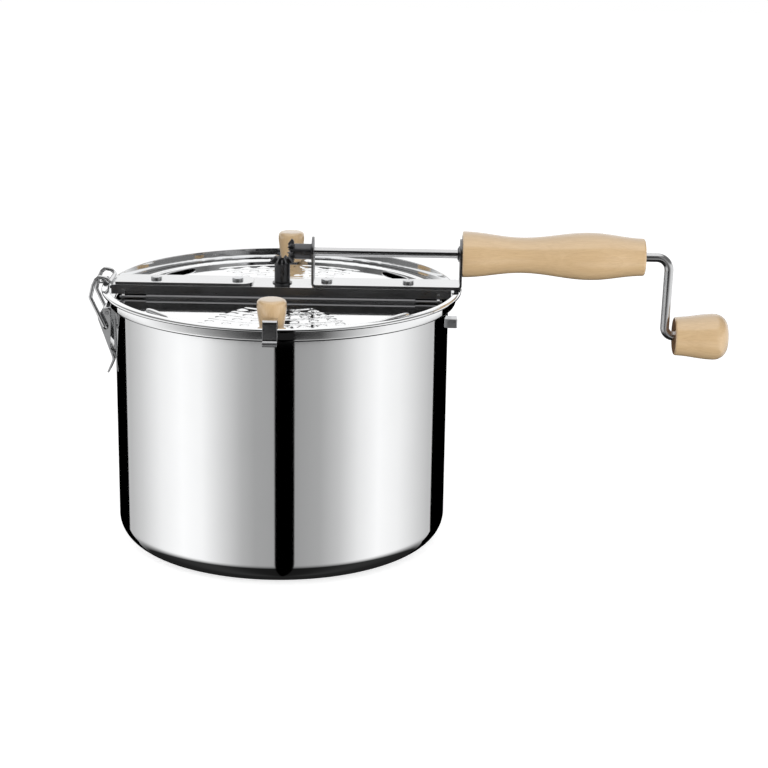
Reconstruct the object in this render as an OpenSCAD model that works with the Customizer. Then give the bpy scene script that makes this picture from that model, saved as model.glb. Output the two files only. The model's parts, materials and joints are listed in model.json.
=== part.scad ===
// Stovetop popcorn popper: a steel pot with a hand cranked stirrer.
// Two half-moon flaps hinge on a bridge across the rim. The bridge also carries
// the crank bracket, and a toggle latch on the left holds it down on the pot.
// Millimetres, +Z up, +X towards the crank handle, origin at the centre of the base.

/* [Pot] */
// Outer radius of the pot wall
pot_r = 111; // [106:0.5:114]
// Thickness of the pot's sheet steel
pot_wall = 1; // [0.8:0.1:1.2]
// Height of the top of the rim above the stove
rim_z = 174; // [150:1:200]
// Radius of the rounded corner at the bottom
corner_r = 15; // [8:0.5:18]
// Distance of the base plate's edge inside the pot wall
base_in = 23; // [19:1:40]
// Thickness of the base plate
base_t = 2; // [1.5:0.5:4]
// How far the rim band stands out from the pot wall
band_step = 5; // [4:0.5:6]
// Depth of the ledge that carries the flaps, below the top of the rim
ledge_depth = 8.5; // [8.5:0.5:10]
// Radius of the rolled bead along the rim
bead_r = 1.4; // [1.2:0.1:1.6]
// How far the bead stands out from the band
bead_out = 3.6; // [3.2:0.1:4]
// Length of the lug on the pot's right side
lug_len = 6.3; // [4:0.1:8]
// Width of the lug
lug_w = 10; // [8:0.5:14]
// Height of the lug
lug_h = 6; // [5:0.5:8]
// Depth of the lug's top below the rim
lug_depth = 21; // [18:0.5:30]

/* [Bridge] */
// Width of the bridge across the pot
bridge_w = 27; // [25:0.5:28]
// Thickness of the bridge's sheet
bridge_t = 1; // [0.8:0.1:1.2]
// Depth of the bridge's side walls below the rim
bridge_drop = 5.3; // [4.5:0.1:5.5]
// Width of the strips on the bridge
strip_w = 23; // [21:0.5:24]
// Thickness of the strips
strip_t = 1.5; // [1.2:0.1:1.8]
// Inner end of the latch strip, left of the shaft
latch_strip_in = 19; // [15:0.5:22]
// Distance of the latch strip's outer end inside the pot wall
latch_strip_in_wall = 1; // [0.5:0.5:5]
// Width of the tongue that the latch holds
tongue_w = 14; // [12:0.5:15]
// Reach of the tongue beyond the pot wall
tongue_out = 10; // [9:0.5:11]
// Place of the inner rivets from the pot's axis
rivet_in = 29.7; // [28:0.1:34]
// Distance of the outer rivets inside the pot wall
rivet_in_wall = 27; // [16:1:41]
// Radius of a rivet's head
rivet_head_r = 3.75; // [3:0.05:4.5]

/* [Flaps] */
// Distance of each hinge axis from the middle of the bridge
hinge_y = 16; // [16:0.1:16.5]
// Depth of the hinge axes below the rim
hinge_depth = 6.9; // [6.8:0.1:7]
// Radius of the hinge rods
hinge_rod_r = 1.5; // [1.4:0.05:1.55]
// Wall of the hinge barrels
barrel_wall = 0.65; // [0.5:0.05:0.7]
// Distance of the hinge barrels' ends inside the pot wall
barrel_in_wall = 22; // [16:1:31]
// Distance of the hinge rods' ends inside the pot wall
hinge_rod_in_wall = 4.6; // [3:0.1:5]
// Thickness of the flaps
flap_t = 1; // [0.8:0.1:1]
// Gap between the flaps and the wall of the rim
flap_gap = 0.8; // [0.6:0.1:1.2]
// Distance of the vents inside the pot wall
vent_in_wall = 15; // [14:1:20]
// Angle of the vents from the bridge
vent_angle = 38.4; // [34:0.2:42]
// Length of a vent
vent_len = 31; // [24:1:34]
// Radius of a vent's hood
vent_hood_r = 2.4; // [2:0.1:3]
// Height of the domes pressed into the flaps
dome_h = 0.8; // [0.5:0.1:1.2]
// Radius of the domes
dome_r = 3.4; // [2.5:0.1:3.6]
// Distance of the flap knobs inside the pot wall
knob_in_wall = 8.6; // [8.6:0.1:10]
// Height of a flap knob
knob_h = 21; // [18:0.1:24]
// Largest radius of a flap knob
knob_top_r = 9.3; // [8.5:0.05:10]
// Radius of a flap knob's foot
knob_foot_r = 7.5; // [6.5:0.1:8]
// Width of the spring clips
clip_w = 9; // [8:0.5:11]
// Thickness of the clips
clip_t = 1.2; // [1:0.1:1.3]
// Height of a clip above the rim
clip_top = 5.5; // [5:0.1:7]
// Reach of a clip's outer leg down the rim
clip_drop = 8; // [7:0.5:10]
// Length of a clip's finger lip
clip_lip = 5; // [3:0.5:7]

/* [Crank] */
// Height of the crank shaft above the rim
shaft_up = 22.6; // [22.3:0.1:26]
// Radius of the crank rod
rod_r = 3; // [2.75:0.05:3.2]
// Inner face of the inner upright from the pot's axis
upright_in = 19.75; // [19.75:0.05:21]
// Reach of the outer upright beyond the pot wall
bracket_out = 8.45; // [6:0.05:10]
// Width of the uprights
upright_w = 20; // [18:0.5:22]
// Length of the wooden handle
handle_len = 121; // [110:0.5:140]
// Radius of the handle at the bracket
handle_root_r = 15.3; // [14:0.1:17]
// Radius of the handle's neck
handle_neck_r = 11.8; // [10:0.1:13]
// Radius of the handle's belly
handle_belly_r = 15.8; // [14:0.1:17]
// Radius of the handle's outer end
handle_end_r = 12.4; // [11:0.1:13.5]
// Length of crank rod outside the handle before its bend
crank_out = 8.1; // [8:0.1:14]
// Drop of the crank's knob below the shaft
crank_drop = 53.6; // [48:0.1:60]
// Radius of the crank's upper bend
crank_bend_r = 8.5; // [6:0.5:9]
// Radius of the crank's lower bend
crank_low_bend_r = 6; // [5:0.5:8]
// Lean of the crank arm back towards the handle, in degrees
crank_lean = 1; // [0:0.1:6]
// Length of the crank knob
crank_knob_len = 35.8; // [32:0.1:42]
// Radius of the crank knob's inner end
crank_knob_in_r = 12.9; // [11:0.1:14]
// Largest radius of the crank knob
crank_knob_r = 15.4; // [14:0.1:17]

/* [Gears and stirrer] */
// Teeth on each bevel gear
teeth = 8; // [8:1:9]
// Distance from the crossing of the shafts to the outer end of the teeth
gear_reach = 10.6; // [10:0.1:11]
// Distance from the crossing of the shafts to the inner end of the teeth
gear_inner = 6; // [5.8:0.1:6.5]
// Radius of the gears' hubs
hub_r = 5.2; // [4.8:0.1:5.4]
// Radius of the stirrer shaft
stirrer_r = 3; // [2.5:0.05:3.2]
// Distance of the stirrer's ends inside the pot wall
stirrer_in_wall = 13; // [9:1:26]
// Radius of the stirrer's wire
stirrer_wire_r = 1.5; // [1.2:0.1:2]
// Height of the turned-up ends of the stirrer
stirrer_tip_h = 20; // [12:1:24]

/* [Latch] */
// Distance of the lever's pivot outside the pot wall
latch_pivot_out = 5.5; // [5.3:0.1:6]
// Depth of the lever's pivot below the rim
latch_pivot_depth = 19.5; // [19:0.1:20]
// Distance of the bail's pivot outside the pot wall
bail_pivot_out = 6; // [5.9:0.1:6.2]
// Depth of the bail's pivot below the rim
bail_pivot_depth = 29.2; // [28.8:0.1:29.6]
// Radius of the bail's wire
bail_r = 1.3; // [1.1:0.05:1.35]
// Half width of the bail at its legs
bail_half = 13; // [12.5:0.1:14]
// Half width of the lever
lever_half = 9.5; // [9.5:0.1:9.8]
// Thickness of the lever's sheet
lever_t = 1.2; // [1:0.1:1.3]
// Half width of the latch's base plate
latch_base_half = 8; // [7.8:0.1:8]

/* [Hidden] */
$fn = 96;

// Running gap of a shaft in its bearing
run_gap = 0.06;
// Gap of pieces that are fixed together
seat_gap = 0.02;
// Air between pieces that move past each other
air = 0.3;
// Overrun of every cut
over = 1;
// Facets of small round work
small_fn = 48;
// Facets of a cut that fits the pot's wall
wall_fn = 720;

// What follows the pot's radius
base_r = pot_r - base_in;
latch_strip_out = pot_r - latch_strip_in_wall;
tongue_reach = pot_r + tongue_out;
rivet_out = pot_r - rivet_in_wall;
barrel_half = pot_r - barrel_in_wall;
hinge_rod_half = pot_r - hinge_rod_in_wall;
vent_r = pot_r - vent_in_wall;
knob_y = pot_r - knob_in_wall;
upright_out = pot_r + bracket_out;
stirrer_reach = pot_r - stirrer_in_wall;
band_r = pot_r + band_step;
band_inner_r = band_r - pot_wall;
bead_mid_r = band_r + bead_out - bead_r;
shell_z = base_t;
ledge_z = rim_z - ledge_depth;
wall_top = ledge_z - pot_wall;
inner_floor_z = shell_z + pot_wall;

flap_top_z = ledge_z + flap_t;
flap_r = band_inner_r - flap_gap;
hinge_z = rim_z - hinge_depth;
barrel_r = hinge_rod_r + run_gap + barrel_wall;
// Edge of a flap beyond its hinge axis, clear of the bridge's ears
flap_edge_out = 3.5;
flap_edge_y = hinge_y + flap_edge_out;
ear_r = 2.4;
ear_t = 2;
ear_in_wall = 8;
ear_x = pot_r - ear_in_wall;
ear_up = 5;

strip_z = rim_z + bridge_t;
strip_top_z = strip_z + strip_t;
shaft_z = rim_z + shaft_up;

rivet_r = 1.9;
rivet_head_h = 1.7;
rivet_foot_h = 1.2;
rivet_foot_r = 3;

// Steel colours
steel = [0.78, 0.79, 0.8];
satin = [0.62, 0.63, 0.64];
dark_steel = [0.28, 0.29, 0.3];
wood = [0.87, 0.72, 0.5];

// A cylinder from one height to another
module post(r, z0, z1) {
  translate([0, 0, z0]) cylinder(r = r, h = z1 - z0);
}

// A cylinder along X at the height of the crank shaft
module shaft_bar(r, x0, x1) {
  translate([x0, 0, shaft_z]) rotate([0, 90, 0]) cylinder(r = r, h = x1 - x0);
}

// A cylinder along Y, centred on Y = 0
module cross_bar(r, len) {
  rotate([90, 0, 0]) cylinder(r = r, h = len, center = true, $fn = small_fn);
}

// A box between two corners
module block(low, high) {
  translate(low) cube(high - low);
}

// A rectangle with four round corners
module round_rect(x0, y0, x1, y1, r) {
  translate([x0 + r, y0]) square([x1 - x0 - 2 * r, y1 - y0]);
  translate([x0, y0 + r]) square([x1 - x0, y1 - y0 - 2 * r]);
  for (x = [x0 + r, x1 - r], y = [y0 + r, y1 - r]) translate([x, y]) circle(r, $fn = small_fn);
}

// A round wire that starts at the origin along +Z.
// Each move is a straight run, a turn towards local +X, its radius, then a roll.
// A ball joins each run to its bend, and the run stops just inside it.
joint_swell = 0.05;
joint_nick = 0.1;
module wire(r, moves, i = 0) {
  if (i < len(moves)) {
    run = moves[i][0];
    turn = moves[i][1];
    bend = moves[i][2];
    start = i == 0 ? 0 : joint_nick;
    stop = i == len(moves) - 1 ? run : run - joint_nick;
    if (stop > start) translate([0, 0, start]) cylinder(r = r, h = stop - start, $fn = small_fn);
    translate([0, 0, run]) {
      if (turn != 0) {
        rotate(turn < 0 ? 180 : 0) translate([bend, 0, 0]) rotate(a = 180, v = [0, 1, 1])
          rotate_extrude(angle = abs(turn)) translate([bend, 0]) circle(r, $fn = small_fn);
        sphere(r + joint_swell, $fn = small_fn);
      }
      translate([sign(turn) * bend * (1 - cos(turn)), 0, bend * sin(abs(turn))]) rotate([0, turn, 0]) {
        if (turn != 0) sphere(r + joint_swell, $fn = small_fn);
        rotate(moves[i][3]) wire(r, moves, i + 1);
      }
    }
  }
}

// Heading of each leg of an XZ path, from +Z towards +X, and the turn at each point
function heading(p, i) = atan2(p[i + 1][0] - p[i][0], p[i + 1][1] - p[i][1]);
function turn_at(p, i) =
  let (t = heading(p, i) - heading(p, i - 1)) t > 180 ? t - 360 : t < -180 ? t + 360 : t;
function trim_at(p, i, bend) = bend * tan(abs(turn_at(p, i)) / 2);

// Moves along an XZ path, whose first and last legs are shortened by the given trim
function path_moves(p, bend, trim) = [
  for (i = [0 : len(p) - 2])
    let (first = i == 0, last = i == len(p) - 2)
      [norm(p[i + 1] - p[i]) - (first ? trim : trim_at(p, i, bend))
         - (last ? trim : trim_at(p, i + 1, bend)),
       last ? 0 : turn_at(p, i + 1), bend, last ? -90 : 0]
];

// A path with each corner rounded, the curve starting a given reach before it
function unit(v) = v / norm(v);
function rounded(p, reach) = concat(
  [p[0]],
  [for (i = [1 : len(p) - 2], s = [0 : 0.25 : 1])
    let (a = p[i] + reach * unit(p[i - 1] - p[i]), b = p[i] + reach * unit(p[i + 1] - p[i]))
      (1 - s) * (1 - s) * a + 2 * s * (1 - s) * p[i] + s * s * b],
  [p[len(p) - 1]]
);

// A strip of sheet along a path in the plane, with mitred corners
function side_of(p, i) = let (d = unit(p[i + 1] - p[i])) [-d[1], d[0]];
function mitre(p, i) =
  let (a = side_of(p, max(i - 1, 0)), b = side_of(p, min(i, len(p) - 2))) (a + b) / (1 + a * b);
module bent_sheet_2d(p, t) {
  last = len(p) - 1;
  polygon(concat([for (i = [0 : last]) p[i] + t / 2 * mitre(p, i)],
                 [for (i = [last : -1 : 0]) p[i] - t / 2 * mitre(p, i)]));
}

// An XZ outline drawn out along Y, centred on Y = 0
module across(width) {
  rotate([90, 0, 0]) linear_extrude(width, center = true) children();
}

// The pot: floor, rounded corner and wall
latch_rivet_r = 1.5;
latch_rivet_depths = [21, 38];

module pot_shell() {
  color(steel) difference() {
    rotate_extrude($fn = 180) {
      translate([0, shell_z]) square([pot_r - corner_r, pot_wall]);
      translate([pot_r - corner_r, shell_z + corner_r]) intersection() {
        difference() {
          circle(corner_r);
          circle(corner_r - pot_wall);
        }
        translate([0, -corner_r]) square(corner_r);
      }
      translate([pot_r - pot_wall, shell_z + corner_r])
        square([pot_wall, wall_top - shell_z - corner_r]);
    }
    for (depth = latch_rivet_depths)
      translate([-pot_r - over, 0, rim_z - depth]) rotate([0, 90, 0])
        cylinder(r = latch_rivet_r + seat_gap, h = pot_wall + 2 * over, $fn = small_fn);
  }
}

// The stepped ring seated on the wall's edge: ledge, band and rolled bead
module rim_ring() {
  color(steel) rotate_extrude($fn = 180) {
    translate([pot_r - pot_wall, wall_top]) square([band_step + pot_wall, pot_wall]);
    translate([band_inner_r, wall_top]) square([pot_wall, rim_z - wall_top]);
    translate([band_inner_r, rim_z - pot_wall]) square([bead_mid_r - band_inner_r, pot_wall]);
    translate([bead_mid_r, rim_z - bead_r]) circle(bead_r, $fn = small_fn);
  }
}

// The disc bonded under the pot
module base_plate() {
  chamfer = base_t / 2;
  color(satin) rotate_extrude($fn = 180) polygon([
    [0, 0], [base_r - chamfer, 0], [base_r, chamfer], [base_r, base_t], [0, base_t]
  ]);
}

// The lug on the pot's right side, cut to the round wall
lug_round = 0.8;
module side_lug() {
  top = rim_z - lug_depth;
  color(dark_steel) difference() {
    translate([0, 0, top - lug_h]) linear_extrude(lug_h)
      round_rect(pot_r - over, -lug_w / 2, pot_r + lug_len, lug_w / 2, lug_round);
    post(pot_r + seat_gap, top - lug_h - over, top + over, $fn = wall_fn);
  }
}

// Latch: base plate with two ears on the pot's left side
latch_x = -pot_r - latch_pivot_out;
latch_z = rim_z - latch_pivot_depth;
bail_x = -pot_r - bail_pivot_out;
bail_z = rim_z - bail_pivot_depth;
latch_pin_r = 1.25;
base_plate_t = 1.25;
base_plate_top = 14.5;
base_plate_bottom = 45;
ear_half_h = 4.5;
latch_ear_r = 3.4;
latch_ear_t = 1.2;
// Where an ear's straight foot begins, out from the plate
ear_foot = 1.5;

module latch_base() {
  face_x = -pot_r - base_plate_t;
  color(satin) difference() {
    union() {
      block([face_x, -latch_base_half, rim_z - base_plate_bottom],
            [-pot_r + over, latch_base_half, rim_z - base_plate_top]);
      for (side = [-1, 1])
        translate([0, side * (latch_base_half - latch_ear_t / 2), 0]) across(latch_ear_t)
          polygon(concat(
            [for (a = [90 : 15 : 270]) [latch_x, latch_z] + latch_ear_r * [cos(a), sin(a)]],
            [[face_x - ear_foot, latch_z - latch_ear_r], [face_x, latch_z - ear_half_h],
             [face_x + base_plate_t / 2, latch_z - ear_half_h],
             [face_x + base_plate_t / 2, latch_z + ear_half_h],
             [face_x, latch_z + ear_half_h], [face_x - ear_foot, latch_z + latch_ear_r]]
          ));
    }
    post(pot_r + seat_gap, rim_z - base_plate_bottom - over, rim_z, $fn = wall_fn);
    translate([latch_x, 0, latch_z])
      cross_bar(latch_pin_r + seat_gap, 2 * latch_base_half + 2 * over);
    for (depth = latch_rivet_depths)
      translate([face_x - over, 0, rim_z - depth]) rotate([0, 90, 0])
        cylinder(r = latch_rivet_r + seat_gap, h = base_plate_t + 2 * over, $fn = small_fn);
  }
}

// Two rivets through the latch's base and the pot wall
latch_head_r = 2.4;
latch_head_h = 1.2;
// The inner heads clear the curve of the wall by this much
inner_seat = 0.04;

module latch_base_rivets() {
  outer_x = -pot_r - base_plate_t;
  inner_x = -pot_r + pot_wall;
  color(satin) for (depth = latch_rivet_depths) translate([0, 0, rim_z - depth]) {
    translate([outer_x, 0, 0]) rotate([0, 90, 0])
      cylinder(r = latch_rivet_r, h = inner_x - outer_x + inner_seat, $fn = small_fn);
    translate([outer_x, 0, 0]) rotate([0, -90, 0])
      cylinder(r1 = latch_head_r, r2 = latch_head_r / 2, h = latch_head_h, $fn = small_fn);
    translate([inner_x + inner_seat, 0, 0]) rotate([0, 90, 0])
      cylinder(r1 = latch_head_r, r2 = latch_head_r / 2, h = latch_head_h, $fn = small_fn);
  }
}

// The pin that the lever turns on
pin_end = 0.8;
module latch_pin() {
  color(satin) translate([latch_x, 0, latch_z])
    cross_bar(latch_pin_r, 2 * lever_half + 2 * pin_end);
}

// The lever: a folded plate with two cheeks and a finger tab.
// Its points in X and Z, seen from its pivot.
lever_pivot = [latch_x, latch_z];
lever_top_off = [-2.1, 2.3];
lever_fold_off = [-5.9, -2.9];
lever_heel_off = [3.9, -31.8];
lever_tab_off = [-0.1, -41.2];
lever_top = lever_pivot + lever_top_off;
lever_fold = lever_pivot + lever_fold_off;
lever_heel = lever_pivot + lever_heel_off;
lever_tab = lever_pivot + lever_tab_off;
lip_half = 6.3;
cheek_in = 2.3;

module latch_lever() {
  color(steel) difference() {
    union() {
      difference() {
        across(2 * lever_half)
          bent_sheet_2d(rounded([lever_top, lever_fold, lever_heel, lever_tab], 1.5 * lever_t), lever_t);
        for (side = [-1, 1]) translate([lever_top[0], side * (lip_half + lever_half), lever_top[1]])
          cube([4 * lever_half, 2 * lever_half, 2 * (lever_top[1] - lever_fold[1]) - 2 * lever_t],
               center = true);
      }
      for (side = [-1, 1])
        translate([0, side * (lever_half - lever_t / 2), 0]) across(lever_t) polygon([
          [latch_x + cheek_in, latch_z + cheek_in - lever_t / 4],
          [latch_x + lever_t / 2, latch_z + latch_ear_r],
          [latch_x - cheek_in, latch_z + latch_ear_r - lever_t / 4],
          lever_fold,
          lever_heel + [-cheek_in, 3 * cheek_in],
          [latch_x + cheek_in, bail_z - lever_t / 2]
        ]);
    }
    translate([latch_x, 0, latch_z]) cross_bar(latch_pin_r + run_gap, 2 * lever_half + 2 * over);
    translate([bail_x, 0, bail_z]) cross_bar(bail_r + run_gap, 2 * lever_half + 2 * over);
  }
}

// The bail: one bent wire from the lever over the rim to the tongue.
// Its points in X and Z, seen from its pivot: hook, fall, crown, shoulder, neck, knee.
bail_pivot = [bail_x, bail_z];
bail_points = [[3.5, 31.7], [1, 34.2], [-3, 35.1], [-5.5, 33.1], [-7.5, 29.2], [-9.5, 21]];
bail_path = concat([for (p = bail_points) bail_pivot + p], [bail_pivot]);
bail_end = 8;
bail_bend = 2;

// Half of the bail: from the middle of the hook to the end inside the lever's cheek
module half_bail() {
  first = heading(bail_path, 0);
  translate([bail_path[0][0], 0, bail_path[0][1]])
    rotate([0, first - 90, 0]) rotate([-90, 0, 0])
    wire(bail_r, concat(
      [[bail_half - bail_bend, 90, bail_bend, 90]],
      path_moves(bail_path, bail_bend, bail_bend),
      [[0, 90, bail_bend, 0], [bail_half - bail_bend - bail_end, 0, 0, 0]]
    ));
}

module latch_bail() {
  color(steel) {
    half_bail();
    mirror([0, 1, 0]) half_bail();
  }
}

// The bridge: a channel across the rim with ears for the hinge rods
wall_end_out = 1.5;
wall_half_len = pot_r + wall_end_out;
bridge_half = bridge_w / 2;
bushing_r = 4.5;

module rivet_holes(places) {
  for (x = places) translate([x, 0, 0])
    post(rivet_r + seat_gap, rim_z - over, strip_top_z + over, $fn = small_fn);
}

module bridge() {
  color(satin) difference() {
    union() {
      block([-wall_half_len, -bridge_half, rim_z], [wall_half_len, bridge_half, strip_z]);
      block([wall_half_len - over, -upright_w / 2, rim_z], [upright_out, upright_w / 2, strip_z]);
      block([-tongue_reach, -tongue_w / 2, rim_z], [-wall_half_len + over, tongue_w / 2, strip_z]);
      for (side = [-1, 1]) {
        translate([0, side * (bridge_half - bridge_t / 2), rim_z - bridge_drop / 2])
          cube([2 * wall_half_len, bridge_t, bridge_drop], center = true);
        for (end = [-1, 1])
          translate([end * (ear_x + ear_t / 2), side * hinge_y, hinge_z]) rotate([0, 90, 0])
            cylinder(r = ear_r, h = ear_t, center = true, $fn = small_fn);
        for (end = [-1, 1])
          translate([end * (ear_x + ear_t / 2), side * (hinge_y + bridge_half - bridge_t) / 2,
                     hinge_z + (ear_up - ear_r) / 2])
            cube([ear_t, hinge_y - bridge_half + bridge_t, ear_up + ear_r], center = true);
      }
    }
    for (side = [-1, 1])
      translate([0, side * hinge_y, hinge_z]) rotate([0, 90, 0])
        cylinder(r = hinge_rod_r + seat_gap, h = 2 * pot_r, center = true, $fn = small_fn);
    rivet_holes([-rivet_out, -rivet_in, rivet_in, rivet_out]);
    post(bushing_r + seat_gap, rim_z - over, strip_z + over);
  }
}

// The half-round catch on the tongue that the bail hooks over
catch_r = 1.2;
catch_out = 6.6;
module tongue_catch() {
  catch_x = pot_r + catch_out;
  color(satin) intersection() {
    translate([-catch_x, 0, strip_z]) cross_bar(catch_r, tongue_w - 2 * catch_r);
    block([-tongue_reach, -tongue_w, strip_z], [-pot_r, tongue_w, strip_z + 2 * catch_r]);
  }
}

// The strip on the bridge's left half, rounded at its inner end
strip_corner_r = 8;
module latch_strip() {
  color(steel) translate([0, 0, strip_z]) difference() {
    linear_extrude(strip_t) {
      round_rect(-latch_strip_out, -strip_w / 2, -latch_strip_in, strip_w / 2, strip_corner_r);
      translate([-latch_strip_out, -strip_w / 2]) square([2 * strip_corner_r, strip_w]);
    }
    translate([0, 0, -strip_z]) rivet_holes([-rivet_out, -rivet_in]);
  }
}

// The crank bracket: a strip with an upright at each end
bend_out_r = 2.3;
module crank_bracket() {
  color(steel) difference() {
    intersection() {
      across(strip_w) difference() {
        round_rect(upright_in, strip_z, upright_out, shaft_z + strip_w, bend_out_r);
        round_rect(upright_in + strip_t, strip_top_z, upright_out - strip_t,
                   shaft_z + strip_w + bend_out_r, bend_out_r - strip_t);
      }
      union() {
        block([upright_in, -strip_w / 2, strip_z], [upright_out, strip_w / 2, strip_top_z]);
        block([upright_in, -upright_w / 2, strip_z], [upright_out, upright_w / 2, shaft_z]);
        shaft_bar(upright_w / 2, upright_in, upright_out);
      }
    }
    rivet_holes([rivet_in, rivet_out]);
    shaft_bar(rod_r + run_gap, upright_in - over, upright_in + strip_t + over);
    shaft_bar(sleeve_r + seat_gap, upright_out - strip_t - over, upright_out + over);
  }
}

// Four rivets that hold the strips on the bridge, with domed heads
rivet_dome_r = (rivet_head_r * rivet_head_r + rivet_head_h * rivet_head_h) / (2 * rivet_head_h);
module bridge_rivets() {
  color(satin) for (x = [-rivet_out, -rivet_in, rivet_in, rivet_out]) translate([x, 0, 0]) {
    post(rivet_r, rim_z, strip_top_z, $fn = small_fn);
    translate([0, 0, rim_z - rivet_foot_h])
      cylinder(r1 = rivet_r, r2 = rivet_foot_r, h = rivet_foot_h, $fn = small_fn);
    intersection() {
      translate([0, 0, strip_top_z + rivet_head_h - rivet_dome_r]) sphere(rivet_dome_r);
      post(rivet_head_r, strip_top_z, strip_top_z + rivet_head_h + over, $fn = small_fn);
    }
  }
}

// The bearing of the stirrer shaft in the bridge
bushing_flange_r = 6.5;
bushing_flange_h = 0.7;
bushing_drop = 6;
module stirrer_bushing() {
  color(dark_steel) difference() {
    union() {
      post(bushing_r, rim_z - bushing_drop, strip_z + bushing_flange_h);
      post(bushing_flange_r, strip_z, strip_z + bushing_flange_h);
      post(bushing_flange_r, rim_z - bridge_t, rim_z);
    }
    post(stirrer_r + run_gap, rim_z - bushing_drop - over, strip_z + bushing_flange_h + over);
  }
}

// The turned wooden handle.
// Each station is a share of the length, then a radius.
handle_bore_gap = 0.1;
sleeve_r = 4.2;
sleeve_flange_r = 7;
sleeve_flange_t = 1.2;
// Depth of the flange's seat in the handle's end
flange_sunk = 1.5;
handle_x0 = upright_out;
handle_x1 = upright_out + handle_len;
end_round = 1.5;

// Smooth step from one radius to the next
function ease(a, b, t) = a + (b - a) * (1 - cos(180 * t)) / 2;
neck_share = 0.33;
belly_share = 0.7;
function handle_radius(s) =
  s < neck_share ? ease(handle_root_r, handle_neck_r, s / neck_share)
  : s < belly_share ? ease(handle_neck_r, handle_belly_r, (s - neck_share) / (belly_share - neck_share))
  : ease(handle_belly_r, handle_end_r, (s - belly_share) / (1 - belly_share));

// Outline of a turned piece with a rounded inner and outer edge
function turned(radius_at, length, round_in, round_out, count) = [
  [0, 0],
  for (a = [0 : 22.5 : 90])
    [radius_at(round_in / length) - round_in * (1 - sin(a)), round_in * (1 - cos(a))],
  for (i = [1 : count - 1])
    let (x = round_in + (length - round_in - round_out) * i / count) [radius_at(x / length), x],
  for (a = [90 : -22.5 : 0])
    [radius_at(1 - round_out / length) - round_out * (1 - sin(a)), length - round_out * (1 - cos(a))],
  [0, length]
];
handle_edge = 1;

module handle_grip() {
  color(wood) translate([handle_x0, 0, shaft_z]) rotate([0, 90, 0]) difference() {
    rotate_extrude()
      polygon(turned(function (s) handle_radius(s), handle_len, handle_edge, end_round, 22));
    post(sleeve_r + handle_bore_gap, -over, handle_len + over);
    post(sleeve_flange_r + handle_bore_gap, handle_len - flange_sunk, handle_len + over);
  }
}

// The steel tube through the handle that clamps it to the bracket, its flange sunk in the wood
module handle_sleeve() {
  seat_x = handle_x1 - flange_sunk;
  color(satin) difference() {
    union() {
      shaft_bar(sleeve_r, upright_out - strip_t, seat_x + sleeve_flange_t);
      shaft_bar(sleeve_flange_r, seat_x, seat_x + sleeve_flange_t);
    }
    shaft_bar(rod_r + run_gap, upright_out - strip_t - over, handle_x1 + over);
  }
}

// A hinge rod held in the bridge's ears
module hinge_rod(side) {
  color(steel) translate([0, side * hinge_y, hinge_z]) rotate([0, 90, 0])
    cylinder(r = hinge_rod_r, h = 2 * hinge_rod_half, center = true, $fn = small_fn);
}
module front_hinge_rod() { hinge_rod(-1); }
module back_hinge_rod() { hinge_rod(1); }

// Everything on a flap is drawn for the back and mirrored to the front
module on_side(side) {
  if (side > 0) children();
  else mirror([0, 1, 0]) children();
}

// The hood over a vent, a quarter shell open towards the bridge
hood_t = 0.6;
module vent_hood() {
  intersection() {
    difference() {
      cylinder(r = vent_hood_r, h = vent_len, center = true, $fn = small_fn);
      cylinder(r = vent_hood_r - hood_t, h = vent_len - 2 * hood_t, center = true, $fn = small_fn);
    }
    translate([-hood_t, -flap_t / 2, -vent_len])
      cube([vent_hood_r + over + hood_t, vent_hood_r + over, 2 * vent_len]);
  }
}

// Rows of pressed domes fan out from the knob: radius from the axis and count of each row
dome_row_share = [0.42, 0.53, 0.64, 0.75];
dome_counts = [5, 6, 7, 8];
dome_spread = 58;
dome_ball_r = (dome_r * dome_r + dome_h * dome_h) / (2 * dome_h);

module flap_domes() {
  for (row = [0 : len(dome_row_share) - 1])
    for (i = [0 : dome_counts[row] - 1])
      rotate(90 - dome_spread / 2 + dome_spread * i / (dome_counts[row] - 1))
        translate([flap_r * dome_row_share[row], 0, flap_top_z - flap_t / 2]) intersection() {
          translate([0, 0, dome_h + flap_t / 2 - dome_ball_r]) sphere(dome_ball_r, $fn = small_fn);
          post(dome_r, 0, dome_h + over, $fn = small_fn);
        }
}

border_r = 1.1;
border_inset = 6.5;
screw_r = 1.9;

module flap(side) {
  color(steel) on_side(side) difference() {
    union() {
      intersection() {
        post(flap_r, ledge_z, flap_top_z, $fn = 180);
        union() {
          block([-flap_r, flap_edge_y, ledge_z], [flap_r, flap_r, flap_top_z]);
          block([-barrel_half, hinge_y, ledge_z], [barrel_half, flap_edge_y + over, flap_top_z]);
        }
      }
      translate([0, hinge_y, hinge_z]) rotate([0, 90, 0])
        cylinder(r = barrel_r, h = 2 * barrel_half, center = true, $fn = small_fn);
      difference() {
        translate([0, 0, flap_top_z]) rotate_extrude($fn = 180)
          translate([flap_r - border_inset, 0]) intersection() {
            circle(border_r, $fn = small_fn);
            translate([-border_r, 0]) square(2 * border_r);
          }
        block([-pot_r, -pot_r, ledge_z], [pot_r, flap_edge_y + border_inset, rim_z]);
        block([-clip_w, 0, flap_top_z - over], [clip_w, pot_r, rim_z]);
      }
      flap_domes();
      for (a = [vent_angle, 180 - vent_angle]) rotate(a)
        translate([vent_r, 0, flap_top_z]) rotate([90, 0, 0]) vent_hood();
    }
    translate([0, hinge_y, hinge_z]) rotate([0, 90, 0])
      cylinder(r = hinge_rod_r + run_gap, h = 2 * barrel_half + 2 * over, center = true,
               $fn = small_fn);
    for (a = [vent_angle, 180 - vent_angle]) rotate(a)
      translate([vent_r, -vent_len / 2 + hood_t, ledge_z - over])
        cube([vent_hood_r - hood_t, vent_len - 2 * hood_t, flap_t + over + seat_gap]);
    translate([0, knob_y, 0]) post(screw_r + seat_gap, ledge_z - over, flap_top_z + over);
  }
}
module front_flap() { flap(-1); }
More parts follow.
